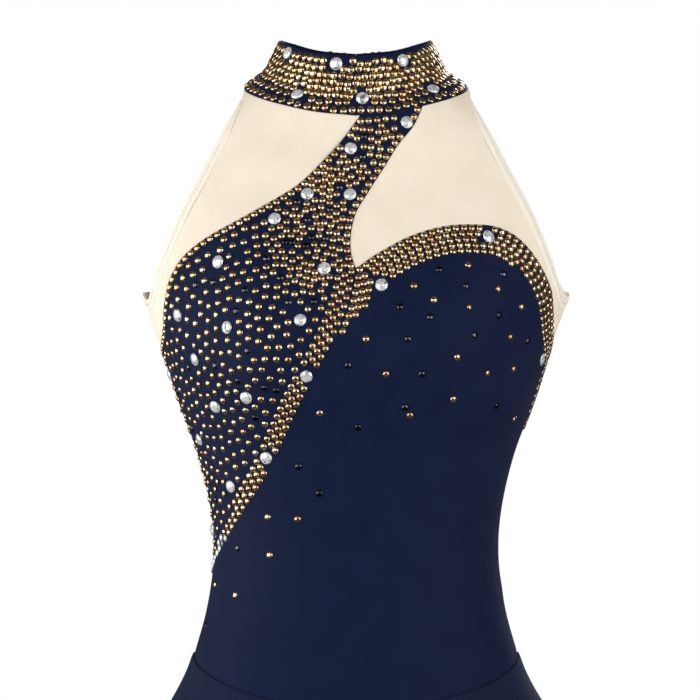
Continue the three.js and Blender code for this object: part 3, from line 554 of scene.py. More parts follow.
# Bodice front: the other half of the bust, cut in one with the waist from the same navy knit. It
# is sewn to the halter along the slanting seam, and its top edge is the curved edge of the cup.
cup_edge = seam(np.concatenate([notch, on_front([
    (11.3, -127), (24.6, -119), (38.6, -111.8), (52.6, -106.8), (66.6, -103.6), (84, -102.4),
    (105.5, -104.6), (117, -110), (127.5, -119.6), (135.2, -130), (141.4, -141.4), (145, -151.4),
    (146.3, -163), (146.6, -175)]), [[SIDE, SIDE_TOP_Z]]]), 18)
right_lower_side = seam([(-SIDE, SWEEP_END_Z), (-SIDE, WAIST_SIDE_Z)], 3)
left_side = seam([(SIDE, SIDE_TOP_Z), (SIDE, WAIST_SIDE_Z)], 13)
BODICE_CREASES = [
    (30, -236, 92, -222, -0.9, 11, 0), (22, -262, 86, -256, 0.6, 10, 0),
    (104, -330, 60, -342, -0.8, 6, 0), (-100, -352, -62, -366, -0.7, 6, 0),
    (108, -372, 66, -384, 0.6, 7, 0), (-106, -398, -70, -410, -0.6, 7, 0),
    (-66, -372, -84, -442, 0.9, 11, 0), (62, -402, 74, -446, -0.7, 10, 0)]
bodice_grid = panel(cup_edge, ring_seam(waist, -SIDE, SIDE, 18),
                    joined(sweep_seam, right_lower_side), left_side)
bodice = panel_on_form("bodice_front", bodice_grid, WALL, BODICE_CREASES, navy)

# Sheer yoke: fine nude power mesh that carries the bodice from the collar, one panel each side of
# the halter band in front and two behind that leave a keyhole at the centre back.
MESH_WALL = 1.2
ARMHOLE_EASE = 1.35
KEYHOLE_FOOT_Z = -126
SCOOP_Z = -312
nude = cloth("nude_power_mesh", (0.79, 0.69, 0.545), (0.85, 0.76, 0.625), 1500, 0.0001, 0.62, 0.05, 0.2)
# Paler cloth of the armhole bands: painted light, for light that shows through the sheer mesh at its edge
# and falls on it from the side.
nude_edge_painted_light = cloth("nude_mesh_edge_painted_light", (0.83, 0.77, 0.66), (0.88, 0.83, 0.73), 1500, 0.0001, 0.62, 0.05, 0.2)
front_armhole = np.concatenate([on_foot(SIDE), on_front([
    (84.5, -6), (88.2, -14.5), (94, -24), (104.4, -42.6), (116, -65), (128, -87), (138, -109.5),
    (146.4, -132), (151, -147), (154.2, -157)]), [[SIDE, UNDERARM_Z]]])
back_armhole = np.concatenate([on_foot(SIDE), on_back([
    (82, -4), (84, -20), (89, -42), (96, -70), (106, -99), (120, -125), (138, -145)]),
    [[SIDE, UNDERARM_Z]]])
MIRROR = np.array([-1.0, 1.0])
YOKE_CREASES = [
    (-76, -26, -8, -46, -1.6, 11, 0), (-92, -40, -40, -66, 0.6, 9, 0), (84, -22, 58, -58, 0.7, 7, 0),
    (96, -44, 72, -92, -0.6, 7, 0), (30, -92, 66, -78, 0.5, 9, 0), (-120, -92, -98, -70, -0.5, 6, 0)]


def mesh_panel(node, grid, creases):
    """A panel of the sheer mesh, stretched on the form."""
    return panel_on_form(node, grid, MESH_WALL, creases, nude)


upper_side = seam([(SIDE, UNDERARM_Z), (SIDE, SIDE_TOP_Z)], 4)
yoke_right = mesh_panel("yoke_right", panel(
    ring_seam(collar_foot, -SIDE, strap_start, 4), upper_side * MIRROR,
    seam(front_armhole * MIRROR, 24, ARMHOLE_EASE), outer_halter), YOKE_CREASES)
yoke_left = mesh_panel("yoke_left", panel(
    ring_seam(collar_foot, strap_end, SIDE, 18), cup_edge, inner_halter,
    joined(seam(front_armhole, 10, ARMHOLE_EASE), upper_side)), YOKE_CREASES)

keyhole_top = float(angle_of(3, 10, True))
scoop = seam(np.concatenate([[[SIDE, SIDE_TOP_Z]], on_back([
    (134, -220), (114, -251), (84, -282), (44, -305)]), [[math.pi, SCOOP_Z]]]), 9)
keyhole_line = joined(
    seam(np.concatenate([on_foot(keyhole_top), on_back([
        (10, -8), (20, -32), (27, -62), (26, -90), (15, -114)]), [[math.pi, KEYHOLE_FOOT_Z]]]), 7),
    seam([(math.pi, KEYHOLE_FOOT_Z), (math.pi, SCOOP_Z)], 7))
BACK_YOKE_CREASES = [
    (60, -40, 96, -78, -0.8, 8, 1), (40, -170, 92, -214, 0.7, 10, 1),
    (20, -232, 70, -262, -0.8, 9, 1), (-54, -46, -92, -84, -0.8, 8, 1),
    (-34, -178, -96, -222, 0.7, 9, 1), (-18, -240, -64, -268, -0.7, 9, 1)]
left_back_grid = panel(
    ring_seam(collar_foot, SIDE, keyhole_top, 9), scoop,
    joined(seam(back_armhole, 10, ARMHOLE_EASE), upper_side), keyhole_line)
right_back_grid = (left_back_grid * MIRROR)[:, ::-1]
back_yoke_left = mesh_panel("back_yoke_left", left_back_grid, BACK_YOKE_CREASES)
back_yoke_right = mesh_panel("back_yoke_right", right_back_grid, BACK_YOKE_CREASES)

# Bodice back: navy knit with a low scooped top edge, sewn to the front at both sides and to the
# nude back above. It isn't in the photograph, so it is plain.
around = np.array([[2 * math.pi, 0.0]])
right_back_side = joined(right_sweep_side, right_lower_side) + around
back_scoop = joined(scoop, (scoop * MIRROR + around)[::-1])
BACK_CREASES = [
    (104, -330, 60, -340, -0.8, 6, 1), (-102, -336, -58, -350, -0.8, 7, 1),
    (98, -362, 40, -376, 0.6, 8, 1), (-100, -372, -48, -380, 0.6, 8, 1), (70, -402, 20, -410, -0.6, 9, 1)]
back_grid = panel(back_scoop, ring_seam(waist, SIDE, 3 * SIDE, 18), left_side, right_back_side)
bodice_back = panel_on_form("bodice_back", back_grid, WALL, BACK_CREASES, navy)

# Stand collar: navy knit over a stiff band, which leans in from the yoke's top edge and then stands
# up. It is open at the centre back, where two small covered buttons close it.
COLLAR_WALL = 2.4
COLLAR_TOP_HALF, COLLAR_TOP_FRONT, COLLAR_TOP_BACK = 55.5, 55, 54
collar_inward = smooth_line([0, 0.15, 0.3, 0.5, 0.75, 1], [0, 0.27, 0.54, 0.69, 0.85, 1])


def collar_at(angle, up):
    """The middle of the collar: from its foot on the form to its top oval, drawn in by the profile."""
    angle, up = alike(angle, up)
    foot = figure(angle, collar_foot(angle))
    depth = np.where(np.cos(angle) > 0, COLLAR_TOP_FRONT, COLLAR_TOP_BACK)
    radius = oval(angle, COLLAR_TOP_HALF, depth, 2)
    top = np.stack([radius * np.sin(angle), -radius * np.cos(angle), np.zeros_like(radius)], -1)
    point = foot + collar_inward(up)[..., None] * (top - foot)
    point[..., 2] = (1 - up) * (foot[..., 2] - 0.15) + up * top_line(turn_of(angle))
    return point


def collar_normal(angle, up):
    """The way out of the collar, square to its two slopes."""
    angle, up = alike(angle, up)
    rise = collar_at(angle, np.minimum(up + 0.02, 1)) - collar_at(angle, np.maximum(up - 0.02, 0))
    return unit(np.cross(collar_at(angle + 0.01, up) - collar_at(angle - 0.01, up), rise))


COLLAR_RADIUS, COLLAR_HEIGHT = 62, 45
collar_turns, collar_ups = np.meshgrid(
    np.radians(np.linspace(-179.98, 179.98, 361)), np.linspace(1, 0, 21))
collar = cloth_piece(
    "collar", collar_at(collar_turns, collar_ups), collar_normal(collar_turns, collar_ups),
    COLLAR_WALL, 0.5, np.stack([collar_turns * COLLAR_RADIUS, collar_ups * COLLAR_HEIGHT], -1), navy)

BUTTON_RADIUS, BUTTON_RIM, BUTTON_RISE = 3.4, 0.9, 2.2
BUTTON_RINGS, BUTTON_SIDES = 9, 32
button_turn = math.pi - math.atan2(6, 54)
lean, round_it = np.meshgrid(np.linspace(0, SIDE, BUTTON_RINGS), np.arange(BUTTON_SIDES), indexing="ij")
round_it = round_it * 2 * math.pi / BUTTON_SIDES
reach = BUTTON_RADIUS * np.cos(lean) * (1 + 0.02 * np.sin(9 * round_it) * np.cos(lean))
dome = np.stack([reach * np.cos(round_it), reach * np.sin(round_it),
                 BUTTON_RIM + BUTTON_RISE * np.sin(lean)], -1)
button_foot = dome[:1] * (0.93, 0.93, 0)
button_form = np.concatenate([np.concatenate([button_foot, dome[:-1]]).reshape(-1, 3),
                              [(0, 0, 0), (0, 0, BUTTON_RIM + BUTTON_RISE)]])
index = np.arange(BUTTON_RINGS * BUTTON_SIDES).reshape(BUTTON_RINGS, BUTTON_SIDES)
after = np.roll(index, -1, axis=1)
button_sides = np.stack([index[:-1], after[:-1], after[1:], index[1:]], -1).reshape(-1, 4)
button_ends = np.concatenate([np.stack([one, other, np.full(BUTTON_SIDES, index.size + pole)], -1) for
                              one, other, pole in ((after[0], index[0], 0), (index[-1], after[-1], 1))])
for button_name, up in (("collar_button_lower", 0.25), ("collar_button_upper", 0.75)):
    out = collar_normal(button_turn, up)
    side_way = unit(np.cross((0, 0, 1), out))
    seat = collar_at(button_turn, up) + out * (COLLAR_WALL / 2 + 0.65)
    vertices = seat + button_form @ np.array([side_way, np.cross(out, side_way), out])
    button = new_piece(button_name + "_cover", vertices, [button_sides, button_ends], navy,
                       button_form[:, :2])
    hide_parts(button_name)

# Armhole edges: the nude mesh is turned over and stitched down in a narrow band all round each
# armhole, which puckers a little between the stitches. The band is coloured paler than the yoke:
# painted light, for the light that shows through the sheer mesh at the edge.
EDGE_WIDTH = 7
EDGE_INNER, EDGE_OUTER = 0.6, 1.35
STITCH_LIFT = 0.1


def band_on_armhole(name, sense):
    """A strip along the armhole's edge: five lines from the edge inward, a wall apart from the yoke,
    with a fine ripple across it."""
    front, back = (seam(armhole, 20, ARMHOLE_EASE) for armhole in (front_armhole, back_armhole))
    front, back = (half[half[:, 1] < collar_foot(half[:, 0]) - 5] for half in (front, back))
    line = np.concatenate([front[:-1], back[::-1]]) * (-sense, 1)
    edge, normals = figure(*line.T), form_normal(*line.T)
    way = sense * unit(np.cross(normals, np.gradient(edge, axis=0)))
    last = len(edge) - 1
    place = np.arange(last + 1)
    share = np.minimum(1, (np.minimum(place, last - place) / FINE + 1) / 3)[:, None]
    target = edge + way * EDGE_WIDTH * share
    inside = figure(np.arctan2(target[:, 0], -target[:, 1]), target[:, 2])
    widths = np.linspace(SEAM_GAP / 2 / EDGE_WIDTH, 1, 5)
    rows = np.stack([edge + (inside - edge) * w for w in widths])
    along = lengths_along(edge)
    ripple = 0.1 * np.sin(along * 1.05) + 0.08 * np.sin(along * 0.37 + 1)
    rows = rows + (ripple * np.sin(widths * math.pi)[:, None])[..., None] * normals
    across = widths * EDGE_WIDTH
    if sense > 0:
        rows, across = rows[::-1], across[::-1]
    vertices, faces = shell(rows, np.broadcast_to(normals, rows.shape), EDGE_INNER, EDGE_OUTER, 0.4)
    uv = np.stack(np.meshgrid(along, across), -1).reshape(-1, 2)
    piece = new_piece(name + "_band", vertices, faces, nude_edge_painted_light, np.tile(uv, (2, 1)))
    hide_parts(name)
    lift = (EDGE_OUTER + STITCH_LIFT) * normals
    one, other = ((1 - w) * rows[0] + w * rows[-1] + lift for w in (0.3, 0.62))
    return [piece, zigzag(name + "_stitching", one, other, normals, 3.2, 0.17, nude)]


edge_left = band_on_armhole("armhole_edge_left", -1)
edge_right = band_on_armhole("armhole_edge_right", 1)

# Skirt: a wide flare of the same navy knit in two halves, sewn on just outside the bodice. It
# stands out over the hips and falls in uneven flutes to a narrow stitched hem.
SKIRT_WALL = 1.2
SKIRT_GAP = 0.3
HEM_Z = -686
FLUTES = 13
FLUTE_DEPTH, FLUTE_DROP = 22, 250
flare_out = smooth_line([0, 12, 24, 36, 60, 100, 150, 200, 270], [0, 4.4, 10.2, 17, 31, 53, 78, 99, 124])


def skirt_at(angle, share):
    """The skirt: it leaves the seam outside the bodice, moves out by the flare at each drop, and by
    a wave around it that grows towards the hem."""
    angle, share = alike(angle, share)
    top = waist(angle)
    start = figure(angle, top) + form_normal(angle, top) * (WALL / 2 + SKIRT_GAP + SKIRT_WALL / 2)
    drop = np.maximum(share, 0) * (top - HEM_Z)
    lead = np.cos(FLUTES * angle + 0.7 * np.sin(2 * angle + 0.4))
    wave = lead * (1 + 0.25 * np.sin(5 * angle + 1)) + 0.2 * np.cos(7 * angle + 2)
    out = flare_out(drop) + FLUTE_DEPTH * (drop / FLUTE_DROP) ** 1.7 * wave
    point = start + out[..., None] * np.stack([np.sin(angle), -np.cos(angle), np.zeros_like(angle)], -1)
    point[..., 2] = top - drop - SKIRT_GAP
    return point


def skirt_half(name, start, end):
    """The skirt from one angle to another as a shell, with two rows of stitches along its hem."""
    angle, share = np.meshgrid(np.linspace(start, end, 281), np.linspace(0, 1, 61) ** 1.1)
    down = skirt_at(angle, share + 0.02) - skirt_at(angle, share - 0.02)
    normals = unit(np.cross(down, skirt_at(angle + 0.01, share) - skirt_at(angle - 0.01, share)))
    piece = cloth_piece(name, skirt_at(angle, share), normals, SKIRT_WALL, 0.25,
                        np.stack([angle * 200, share * 240], -1), skirt_navy)
    rows = []
    for k, up in enumerate((5.5, 8.5)):
        angle = np.linspace(start + 0.004, end - 0.004, 520)
        share = 1 - up / (waist(angle) - HEM_Z)
        line = skirt_at(angle, share)
        outs = unit(np.cross(skirt_at(angle, share + 0.02) - line, np.gradient(line, axis=0)))
        line = line + outs * (SKIRT_WALL / 2 + STITCH_LIFT)
        ends = line[:-1] + 0.72 * np.diff(line, axis=0)
        rows.append(stitches(f"{name}_hem_stitching_{k + 1}", line[:-1], ends, outs[:-1], 0.19, skirt_navy))
    return [piece, rows]


skirt_navy = cloth("navy_skirt_knit", (0.0048, 0.0094, 0.0315), (0.0066, 0.0125, 0.040), 2100, 0.00012,
                   0.55, 0.06, 0.07)
skirt_front, front_hem = skirt_half("skirt_front", -SIDE, SIDE)
skirt_back, back_hem = skirt_half("skirt_back", SIDE, 3 * SIDE)

# Briefs: navy knit, front and back, sewn in with the skirt and to each other at the sides and the
# crotch, with narrow elastic turned into each leg edge, which gathers it a little.
BRIEFS_FRONT = np.array([
    # along, middle y, middle z, half width, leg edge y, leg edge z
    (0, -95, -463, 120.2, 0, WAIST_SIDE_Z), (0.2, -97, -500, 130, 0, -455), (0.4, -95, -540, 137, 0, -487),
    (0.55, -88, -572, 118, -36, -522), (0.7, -76, -602, 82, -54, -564), (0.85, -50, -631, 48, -42, -614),
    (1, 0, -646, 34, 0, -641)])
BRIEFS_BACK = np.array([
    (0, 100, -441, 120.2, 0, WAIST_SIDE_Z), (0.2, 109, -485, 130, 0, -455), (0.4, 113, -530, 137, 0, -487),
    (0.55, 111, -566, 127, 32, -532), (0.7, 100, -602, 102, 54, -578), (0.85, 64, -634, 60, 46, -622),
    (1, 0, -646, 34, 0, -641)])


def briefs_half(name, table, start, end):
    """Each row is a quarter of an oval on each side of its middle; the top row is the skirt seam,
    and the cloth ripples towards its leg edges."""
    middle_y, middle_z, half, edge_y, edge_z = (smooth_line(table[:, 0], table[:, k]) for k in range(1, 6))
    sense = 1 if start < 0 else -1
    along, across = np.meshgrid(np.linspace(0, 1, 61), np.linspace(0, 1, 97), indexing="ij")
    lean = (2 * across - 1) * SIDE
    level = np.cos(lean)
    side_y = sense * np.minimum(sense * edge_y(along), 0)
    points = np.stack([sense * half(along) * np.sin(lean), side_y + level * (middle_y(along) - side_y),
                       edge_z(along) + level * (middle_z(along) - edge_z(along))], -1)
    top_angle = start + (end - start) * across[0]
    to_top = np.clip(1 - along / 0.125, 0, 1)[..., None]
    points += to_top * (figure(top_angle, waist(top_angle)) - points[0])
    normals = unit(np.cross(np.gradient(points, axis=0), np.gradient(points, axis=1)))
    on_middle = np.abs(points[..., 1]) < 1e-3
    normals[on_middle] = unit(normals[on_middle] * (1, 0, 1))
    leg = np.clip((along - 0.42) / 0.12, 0, 1) * np.exp(-((1 - np.abs(2 * across - 1)) / 0.09) ** 2)
    points = points + (0.5 * leg * np.sin(along * 150))[..., None] * normals
    piece = cloth_piece(name, points, normals, WALL, 0.3,
                        np.stack([across * 300, along * 260], -1), skirt_navy)
    outer = set_back(points, normals, SEAM_GAP / 2) + (WALL / 2 + STITCH_LIFT) * normals
    leg_rows = slice(26, -1)
    return [piece, [
        zigzag(f"{name}_{which}_leg_stitching", outer[leg_rows, one], outer[leg_rows, other],
               normals[leg_rows, one], 4, 0.19, skirt_navy)
        for which, one, other in (("first", 1, 3), ("second", -2, -4))]]


briefs_front, front_legs = briefs_half("briefs_front", BRIEFS_FRONT, -SIDE, SIDE)
briefs_back, back_legs = briefs_half("briefs_back", BRIEFS_BACK, SIDE, 3 * SIDE)

# Stones: flat-backed cut stones, glued to the cloth one by one. Most are gold, some are jet black,
# and the large ones and the last few on the slanting seam are clear with foil behind them.
chance = np.random.default_rng(17)
GOLD_RADIUS, CLEAR_RADIUS = 2.75, 4.9
SUNK = 0.05


def cut_stone(facets, rings):
    """One stone of radius 1: rings of radius, height and half turns, joined by triangles, with a
    flat table and a flat back."""
    radius, height, half_turns = np.array(rings).T[..., None]
    turn = 2 * math.pi * (np.arange(facets)[None] + half_turns / 2) / facets
    vertices = np.stack([radius * np.cos(turn), radius * np.sin(turn), height + 0 * turn], -1)
    index = np.arange(len(rings) * facets).reshape(len(rings), facets)
    low, high = index[:-1], index[1:]
    next_low, next_high = np.roll(low, -1, 1), np.roll(high, -1, 1)
    turned = np.diff(half_turns, axis=0) < 0
    one = np.stack([low, np.where(turned, next_high, next_low), high], -1)
    two = np.stack([np.where(turned, low, next_low), np.where(turned, next_low, next_high),
                    np.where(turned, next_high, high)], -1)
    triangles = np.concatenate([one.reshape(-1, 3), two.reshape(-1, 3)])
    return vertices.reshape(-1, 3), triangles, np.stack([index[0, ::-1], index[-1]])


SMALL_CUT = cut_stone(8, [(1, 0, 0), (1, 0.14, 0), (0.43, 0.4, 1)])
FLAT_CUT = cut_stone(8, [(1, 0, 0), (1, 0.14, 0), (0.66, 0.38, 1)])
LARGE_CUT = cut_stone(10, [(1, 0, 0), (1, 0.1, 0), (0.84, 0.25, 1), (0.62, 0.34, 0), (0.36, 0.42, 1)])


def set_stones(name, points, normals, radius, cut, material):
    """All stones of one piece: the same cut stone at each place, standing on the cloth, turned at
    random and tipped a little. Each small stone has a shade of its own, and each facet of a large
    one a random shade: on the large clear stones these are painted sparkle, dark and near-white
    facets standing in for reflections."""
    shape, triangles, tables = cut
    count = len(points)
    side = unit(np.cross(normals, np.where(np.abs(normals[:, 2:3]) > 0.9, (1.0, 0, 0), (0, 0, 1.0))))
    other = np.cross(normals, side)
    turn = chance.uniform(0, 2 * math.pi, (count, 1))
    tip = chance.normal(0, 0.07, (count, 2))
    up = unit(normals + tip[:, :1] * side + tip[:, 1:] * other)
    first = unit(np.cross(up, np.cos(turn) * side + np.sin(turn) * other))
    second = np.cross(up, first)
    size = radius * chance.uniform(0.96, 1.03, (count, 1, 1))
    vertices = points[:, None] + size * (shape @ np.stack([first, second, up], 1))
    step = (np.arange(count) * len(shape))[:, None, None]
    # Each facet of a large stone takes a random shade: painted sparkle, with dark and near-white facets
    # standing in for reflections.
    tone = chance.uniform(0, 1, count * (len(triangles) + 2)) if radius == CLEAR_RADIUS else np.repeat(
        chance.uniform(0, 1, count), len(shape))
    return new_piece(name, vertices.reshape(-1, 3), [
        (triangles[None] + step).reshape(-1, 3), (tables[None] + step).reshape(-1, tables.shape[1])],
        material, tone=tone, smooth=False)


def stone_finish(name, shades, metallic, roughness, coat):
    """A cut stone with foil behind it: each stone, or each facet of a large one, takes a shade from a
    row of them, and fine scratches on the foil vary its gloss. Dark and near-white shades given to
    the facets of the large clear stones are painted sparkle."""
    material, tree, shader = new_material(name)
    tone = tree.nodes.new("ShaderNodeAttribute")
    tone.attribute_name = "tone"
    row = tree.nodes.new("ShaderNodeValToRGB")
    row.color_ramp.elements[0].color = (*shades[0], 1)
    row.color_ramp.elements[1].color = (*shades[-1], 1)
    for k, shade in enumerate(shades[1:-1], 1):
        row.color_ramp.elements.new(k / (len(shades) - 1)).color = (*shade, 1)
    tree.links.new(tone.outputs["Fac"], row.inputs[0])
    tree.links.new(row.outputs[0], shader.inputs["Base Color"])
    place = tree.nodes.new("ShaderNodeTexCoord")
    scratch = tree.nodes.new("ShaderNodeTexNoise")
    scratch.inputs["Scale"].default_value = 900
    tree.links.new(place.outputs["Object"], scratch.inputs["Vector"])
    tree.links.new(calc(tree, "MULTIPLY_ADD", scratch.outputs["Fac"], 0.1, roughness),
                   shader.inputs["Roughness"])
    shader.inputs["Metallic"].default_value = metallic
    shader.inputs["Coat Weight"].default_value = coat
    shader.inputs["Coat Roughness"].default_value = 0.04
    return material


gold = stone_finish("gold_stone", [(0.54, 0.36, 0.16), (0.78, 0.54, 0.27), (0.86, 0.67, 0.40),
                                   (0.74, 0.40, 0.20)], 0.95, 0.04, 0.4)
jet = stone_finish("jet_stone", [(0.03, 0.033, 0.04), (0.13, 0.14, 0.16)], 1.0, 0.0, 0.3)
# The clear row runs from a dark shade to near white, painted sparkle: the large stones take one for each
# facet, the small clear ones one for each stone.
clear = stone_finish("clear_stone", [(0.1, 0.11, 0.12), (0.75, 0.77, 0.78), (0.9, 0.91, 0.92),
                                     (0.95, 0.96, 0.97), (0.95, 0.96, 0.97)], 0.45, 0.02, 0.6)


def on_form(angle, z, lift):
    """Places and normals on the cloth's outer face."""
    normals = form_normal(angle, z)
    return figure(angle, z) + lift * normals, normals


def shifted(line, distance):
    """A line on the form moved sideways along it, to its left for a positive distance: in short
    steps, each solved in the form's two slopes."""
    steps = max(1, math.ceil(abs(distance) / 2.5))
    line = line.copy()
    for _ in range(steps):
        points = figure(*line.T)
        turn_slope, height_slope = slopes(*line.T)
        normal = unit(np.cross(turn_slope, height_slope))
        way = unit(np.cross(normal, np.gradient(points, axis=0))) * distance / steps
        line = line + in_form(way, turn_slope, height_slope)
    return line


def in_form(way, turn_slope, height_slope):
    """A way in space as a change of angle and height, from the form's two slopes."""
    aa, zz = (turn_slope ** 2).sum(-1), (height_slope ** 2).sum(-1)
    az = (turn_slope * height_slope).sum(-1)
    wa, wz = (way * turn_slope).sum(-1), (way * height_slope).sum(-1)
    det = aa * zz - az * az
    return np.stack([(wa * zz - wz * az) / det, (wz * aa - wa * az) / det], -1)


def between(points, others):
    """The distance from each point to each of the others."""
    return np.linalg.norm(points[:, None] - others[None], axis=-1)


def row_along(line, pitch, start):
    """Places at an even pitch along a line on the form."""
    along = lengths_along(figure(*line.T))
    at = np.arange(start, along[-1] - pitch * 0.3, pitch)
    return np.stack([np.interp(at, along, line[:, k]) for k in (0, 1)], -1)


def apart(places, large, least):
    """Drops places nearer than the least distance to an earlier one, or hidden by a large stone."""
    points = figure(*places.T)
    crowded = np.tril(between(points, points) < least, -1).any(1)
    return places[~crowded & (between(points, large).min(1) > GOLD_RADIUS + CLEAR_RADIUS - 0.8)]


def within(places, outline):
    """Which places lie inside an outline: an odd number of its sides cross the line to the right."""
    x, y = places[:, 0:1], places[:, 1:2]
    x1, y1 = outline[:, 0], outline[:, 1]
    x2, y2 = np.roll(x1, -1), np.roll(y1, -1)
    crosses = ((y1 > y) != (y2 > y)) & (x < (x2 - x1) * (y - y1) / np.where(y2 == y1, 1e-9, y2 - y1) + x1)
    return crosses.sum(1) % 2 == 1


DARTS, PUSHES = 16000, 30


def spread(outline, spacing, fixed, fixed_radius):
    """Fills an outline on the form with places at about the spacing asked for at each: darts thrown
    at random stay where they are clear of all earlier ones and of the fixed points, and then push
    each other apart for a number of rounds."""
    darts = chance.uniform(outline.min(0), outline.max(0), (DARTS, 2))
    darts = darts[within(darts, outline)]
    points, gaps = figure(*darts.T), spacing(darts)
    room = between(points, fixed) - fixed_radius[None]
    stays = room.min(1) > 0.4 * gaps
    for i in np.flatnonzero(stays):
        earlier = np.flatnonzero(stays[:i])
        near = np.linalg.norm(points[earlier] - points[i], axis=1) < 0.375 * (gaps[earlier] + gaps[i])
        stays[i] = not near.any()
    places = darts[stays]
    for _ in range(PUSHES):
        points = figure(*places.T)
        gap = spacing(places)
        away = points[:, None] - points[None]
        far = np.linalg.norm(away, axis=-1) + 1e-6
        push = np.clip((gap[:, None] + gap[None]) / 2 - far, 0, None) / far
        np.fill_diagonal(push, 0)
        force = 0.2 * (push[..., None] * away).sum(1)
        away = points[:, None] - fixed[None]
        far = np.linalg.norm(away, axis=-1) + 1e-6
        push = np.clip(gap[:, None] / 2 + fixed_radius[None] - far, 0, None) / far
        force += 0.4 * (push[..., None] * away).sum(1)
        moved = places + in_form(force, *slopes(*places.T))
        inside = within(moved, outline)
        places = np.where(inside[:, None], moved, places)
    return places


def small_stones(name, places, material):
    """The small stones of one piece, sunk a hair into the cloth at their places on the form."""
    points, normals = on_form(*places.T, WALL / 2 - SUNK)
    return set_stones(name, points, normals, GOLD_RADIUS, SMALL_CUT, material)


# Stones of the halter front: one row along each edge, three rows along the slanting seam, and
# between them a scatter that is close on the band and open over the bust.
JET_SHARE = 0.06
CLEAR_BELOW_Z = -331
LARGE_ON_HALTER = on_front([
    (37.5, -26.5), (-4, -46), (-36, -80), (-4.5, -80.4), (-60, -98.5), (-101.5, -130.3),
    (-23.5, -135.4), (-131.5, -169.2), (-94.5, -178.4), (-41, -173.2), (-118.6, -201.8), (-138, -213.5),
    (-36.5, -214), (-80.5, -229.8), (-103.5, -236.8), (-115.8, -261.4), (-66, -274.5), (-92.4, -296),
    (-106, -329.5)])
large_points, large_normals = on_form(*LARGE_ON_HALTER.T, WALL / 2)
halter_outline = np.concatenate([
    outer_halter, right_sweep_side, joined(inner_halter, sweep_seam)[::-1], strap_top[::-1]])
sweep_rows = [row_along(shifted(sweep_seam, -(2.9 + 4.6 * k)), 6.9, 3.2 + 3.4 * (k % 2)) for k in range(3)]
sweep_rows[2] = sweep_rows[2][sweep_rows[2][:, 1] > -312]
halter_rows = np.concatenate([
    row_along(shifted(outer_halter, 2.9), 6.3, 3.5), row_along(shifted(inner_halter, -2.9), 6.3, 4.5),
    row_along(shifted(strap_top, -4.6), 6.4, 6), *sweep_rows])
halter_rows = apart(halter_rows[within(halter_rows, halter_outline)], large_points, 4.7)


def halter_spacing(places):
    """Close along the band from the collar to the bust, and open away from it."""
    points = figure(*places.T)[:, ::2]
    start, way = np.array([26.0, -18.0]), np.array([-50.0, -98.0])
    t = np.clip(((points - start) @ way) / (way @ way), 0, 1)[:, None]
    far = np.clip((np.linalg.norm(points - start - t * way, axis=1) - 26) / 36, 0, 1)
    return 5.6 + 3.4 * far * far * (3 - 2 * far)


row_points = figure(*halter_rows.T)
halter_fill = spread(halter_outline, halter_spacing, np.concatenate([row_points, large_points]),
                     np.concatenate([np.full(len(row_points), 2.5), np.full(len(large_points), 5.0)]))
fill_points = figure(*halter_fill.T)
nearest = between(fill_points, row_points).min(1)
off_edge = between(halter_fill * (GIRTH, 1), halter_outline * (GIRTH, 1)).min(1)
halter_fill = apart(halter_fill[(nearest > 4.8) & (off_edge > 3.2)], large_points, 4.7)
is_jet = chance.uniform(size=len(halter_fill)) < JET_SHARE
is_clear = halter_rows[:, 1] < CLEAR_BELOW_Z
halter_gold = np.concatenate([halter_rows[~is_clear], halter_fill[~is_jet]])
halter_stones = [
    small_stones("halter_gold_stones", halter_gold, gold),
    small_stones("halter_jet_stones", halter_fill[is_jet], jet),
    small_stones("halter_clear_stones", halter_rows[is_clear], clear),
    set_stones("halter_large_stones", large_points, large_normals, CLEAR_RADIUS, LARGE_CUT, clear)]

# Stones of the bodice front: five close rows below the cup's edge, which run on down the side, and
# a thin scatter of gold and jet over the plain cloth below them.
def seen_on_front(table):
    """Angle and height of places read at the scale of the frame's middle: the nearer the cloth stands
    to the camera, the further in towards the camera's axis they are drawn."""
    eye_x, eye_y, eye_z = np.array(camera.location) * 1000
    table = np.array(table, float)
    places = on_front(table)
    for _ in range(3):
        nearness = 1 - figure(*places.T)[:, 1:2] / eye_y
        places = on_front((eye_x, eye_z) + (table - (eye_x, eye_z)) * nearness)
    return places


LARGE_ON_CUP = on_front([(18.7, -147.5), (97.4, -111.6), (137.5, -202)])
cup_large, cup_large_normals = on_form(*LARGE_ON_CUP.T, WALL / 2)
cup_line = joined(sweep_seam[20::-1], cup_edge, seam([(SIDE, SIDE_TOP_Z), (SIDE, -268)], 4))
bodice_outline = np.concatenate([
    joined(sweep_seam, right_lower_side), ring_seam(waist, -SIDE, SIDE, 18), left_side[::-1],
    cup_edge[::-1]])
cup_rows = []
for k in range(5):
    row = row_along(shifted(cup_line, -(2.9 + 4.55 * k)), 6.2, 2.9 + 3.1 * (k % 2))
    x_of_row = figure(*row.T)[:, 0]
    low_side = np.where(x_of_row > 60, -257 + 6 * k, -182 + 9 * k)
    thinned = (k == 4) & (x_of_row > 118)
    cup_rows.append(row[(row[:, 1] > low_side) & ~thinned])
cup_rows = np.concatenate(cup_rows)
cup_rows = apart(cup_rows[within(cup_rows, bodice_outline)], cup_large, 4.05)
GOLD_ON_BODICE = seen_on_front([
    (43.5, -147), (58.5, -157.5), (84, -131.3), (84.8, -162.8), (7.5, -186.8), (75.8, -200.3),
    (22.5, -213), (98.3, -212.3), (106.5, -149.3), (123.8, -162.8), (115.5, -185.3), (117.8, -209.3),
    (118, -247), (72.8, -231.8), (40.5, -244), (-27, -242.3), (-66, -320.3), (-43.5, -321.8),
    (-64.5, -348.8), (-90, -378.8), (-105, -371)])
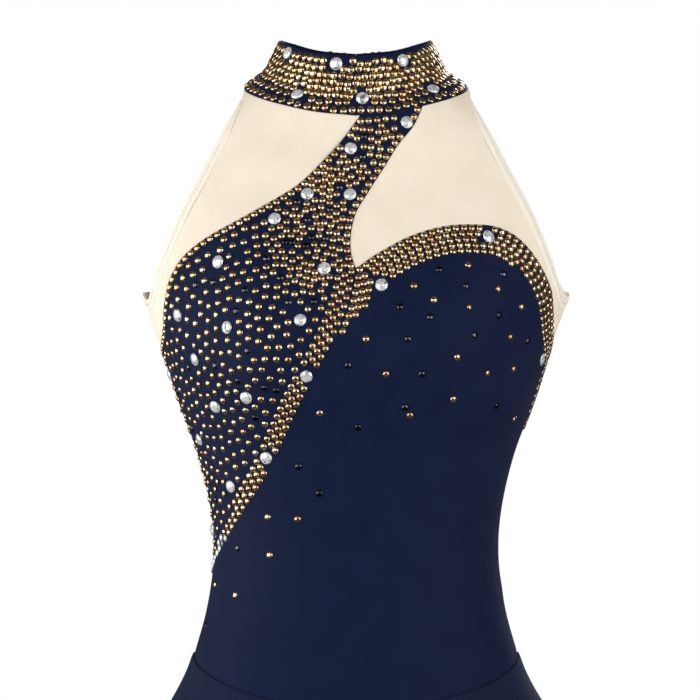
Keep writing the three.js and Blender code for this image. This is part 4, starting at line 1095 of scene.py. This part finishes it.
JET_ON_BODICE = seen_on_front([
    (62.3, -135), (82.5, -147), (33, -162.8), (55.5, -170.3), (39, -186.8), (88.5, -183.8),
    (-6, -206.3), (49.5, -213), (106.5, -168.8), (110.3, -138), (128.3, -188.3), (105, -236.5),
    (36.8, -237.8), (1.5, -252.8), (-43, -282.3), (-27.3, -302.3), (-88.5, -343.5), (-112, -402)])
bodice_stones = [
    small_stones("bodice_gold_stones", np.concatenate([cup_rows, GOLD_ON_BODICE]), gold),
    small_stones("bodice_jet_stones", JET_ON_BODICE, jet),
    set_stones("bodice_large_stones", cup_large, cup_large_normals, CLEAR_RADIUS, LARGE_CUT, clear)]

# Stones of the collar: eight rows all round between bare edges, with large clear ones among them.
# They are a little larger and flatter than the others.
LARGE_ON_COLLAR = np.array([
    # turn in degrees, share of the way up
    (-15, 0.85), (37, 0.85), (4.5, 0.28), (-41, 0.21), (54.5, 0.21), (-60.5, 0.86), (108, 0.72),
    (-98, 0.3), (146, 0.4), (-152, 0.7)]) * (math.radians(1), 1)
collar_large = collar_at(*LARGE_ON_COLLAR.T) + collar_normal(*LARGE_ON_COLLAR.T) * COLLAR_WALL / 2
turns = np.radians(np.linspace(-177, 177, 2400))
collar_places = []
for k, up in enumerate((0.065, 0.19, 0.305, 0.42, 0.53, 0.645, 0.765, 0.885)):
    along = lengths_along(collar_at(turns, up))
    at = np.arange(2.5 + 2.8 * (k % 2), along[-1] - 2, 5.6 if k > 1 else 6.8)
    at = at + chance.normal(0, 0.3, len(at))
    ups = up + chance.normal(0, 0.012, len(at))
    collar_places.append(np.stack([np.interp(at, along, turns), ups], -1))
collar_places = np.concatenate(collar_places)
clear_of_large = between(collar_at(*collar_places.T), collar_large).min(1) > 6.9
collar_places = collar_places[clear_of_large]
collar_normals = collar_normal(*collar_places.T)
stone_points = collar_at(*collar_places.T) + collar_normals * (COLLAR_WALL / 2 - SUNK)
collar_stones = [
    set_stones("collar_gold_stones", stone_points, collar_normals, GOLD_RADIUS + 0.15, FLAT_CUT, gold),
    set_stones("collar_large_stones", collar_large, collar_normal(*LARGE_ON_COLLAR.T), CLEAR_RADIUS,
               LARGE_CUT, clear)]
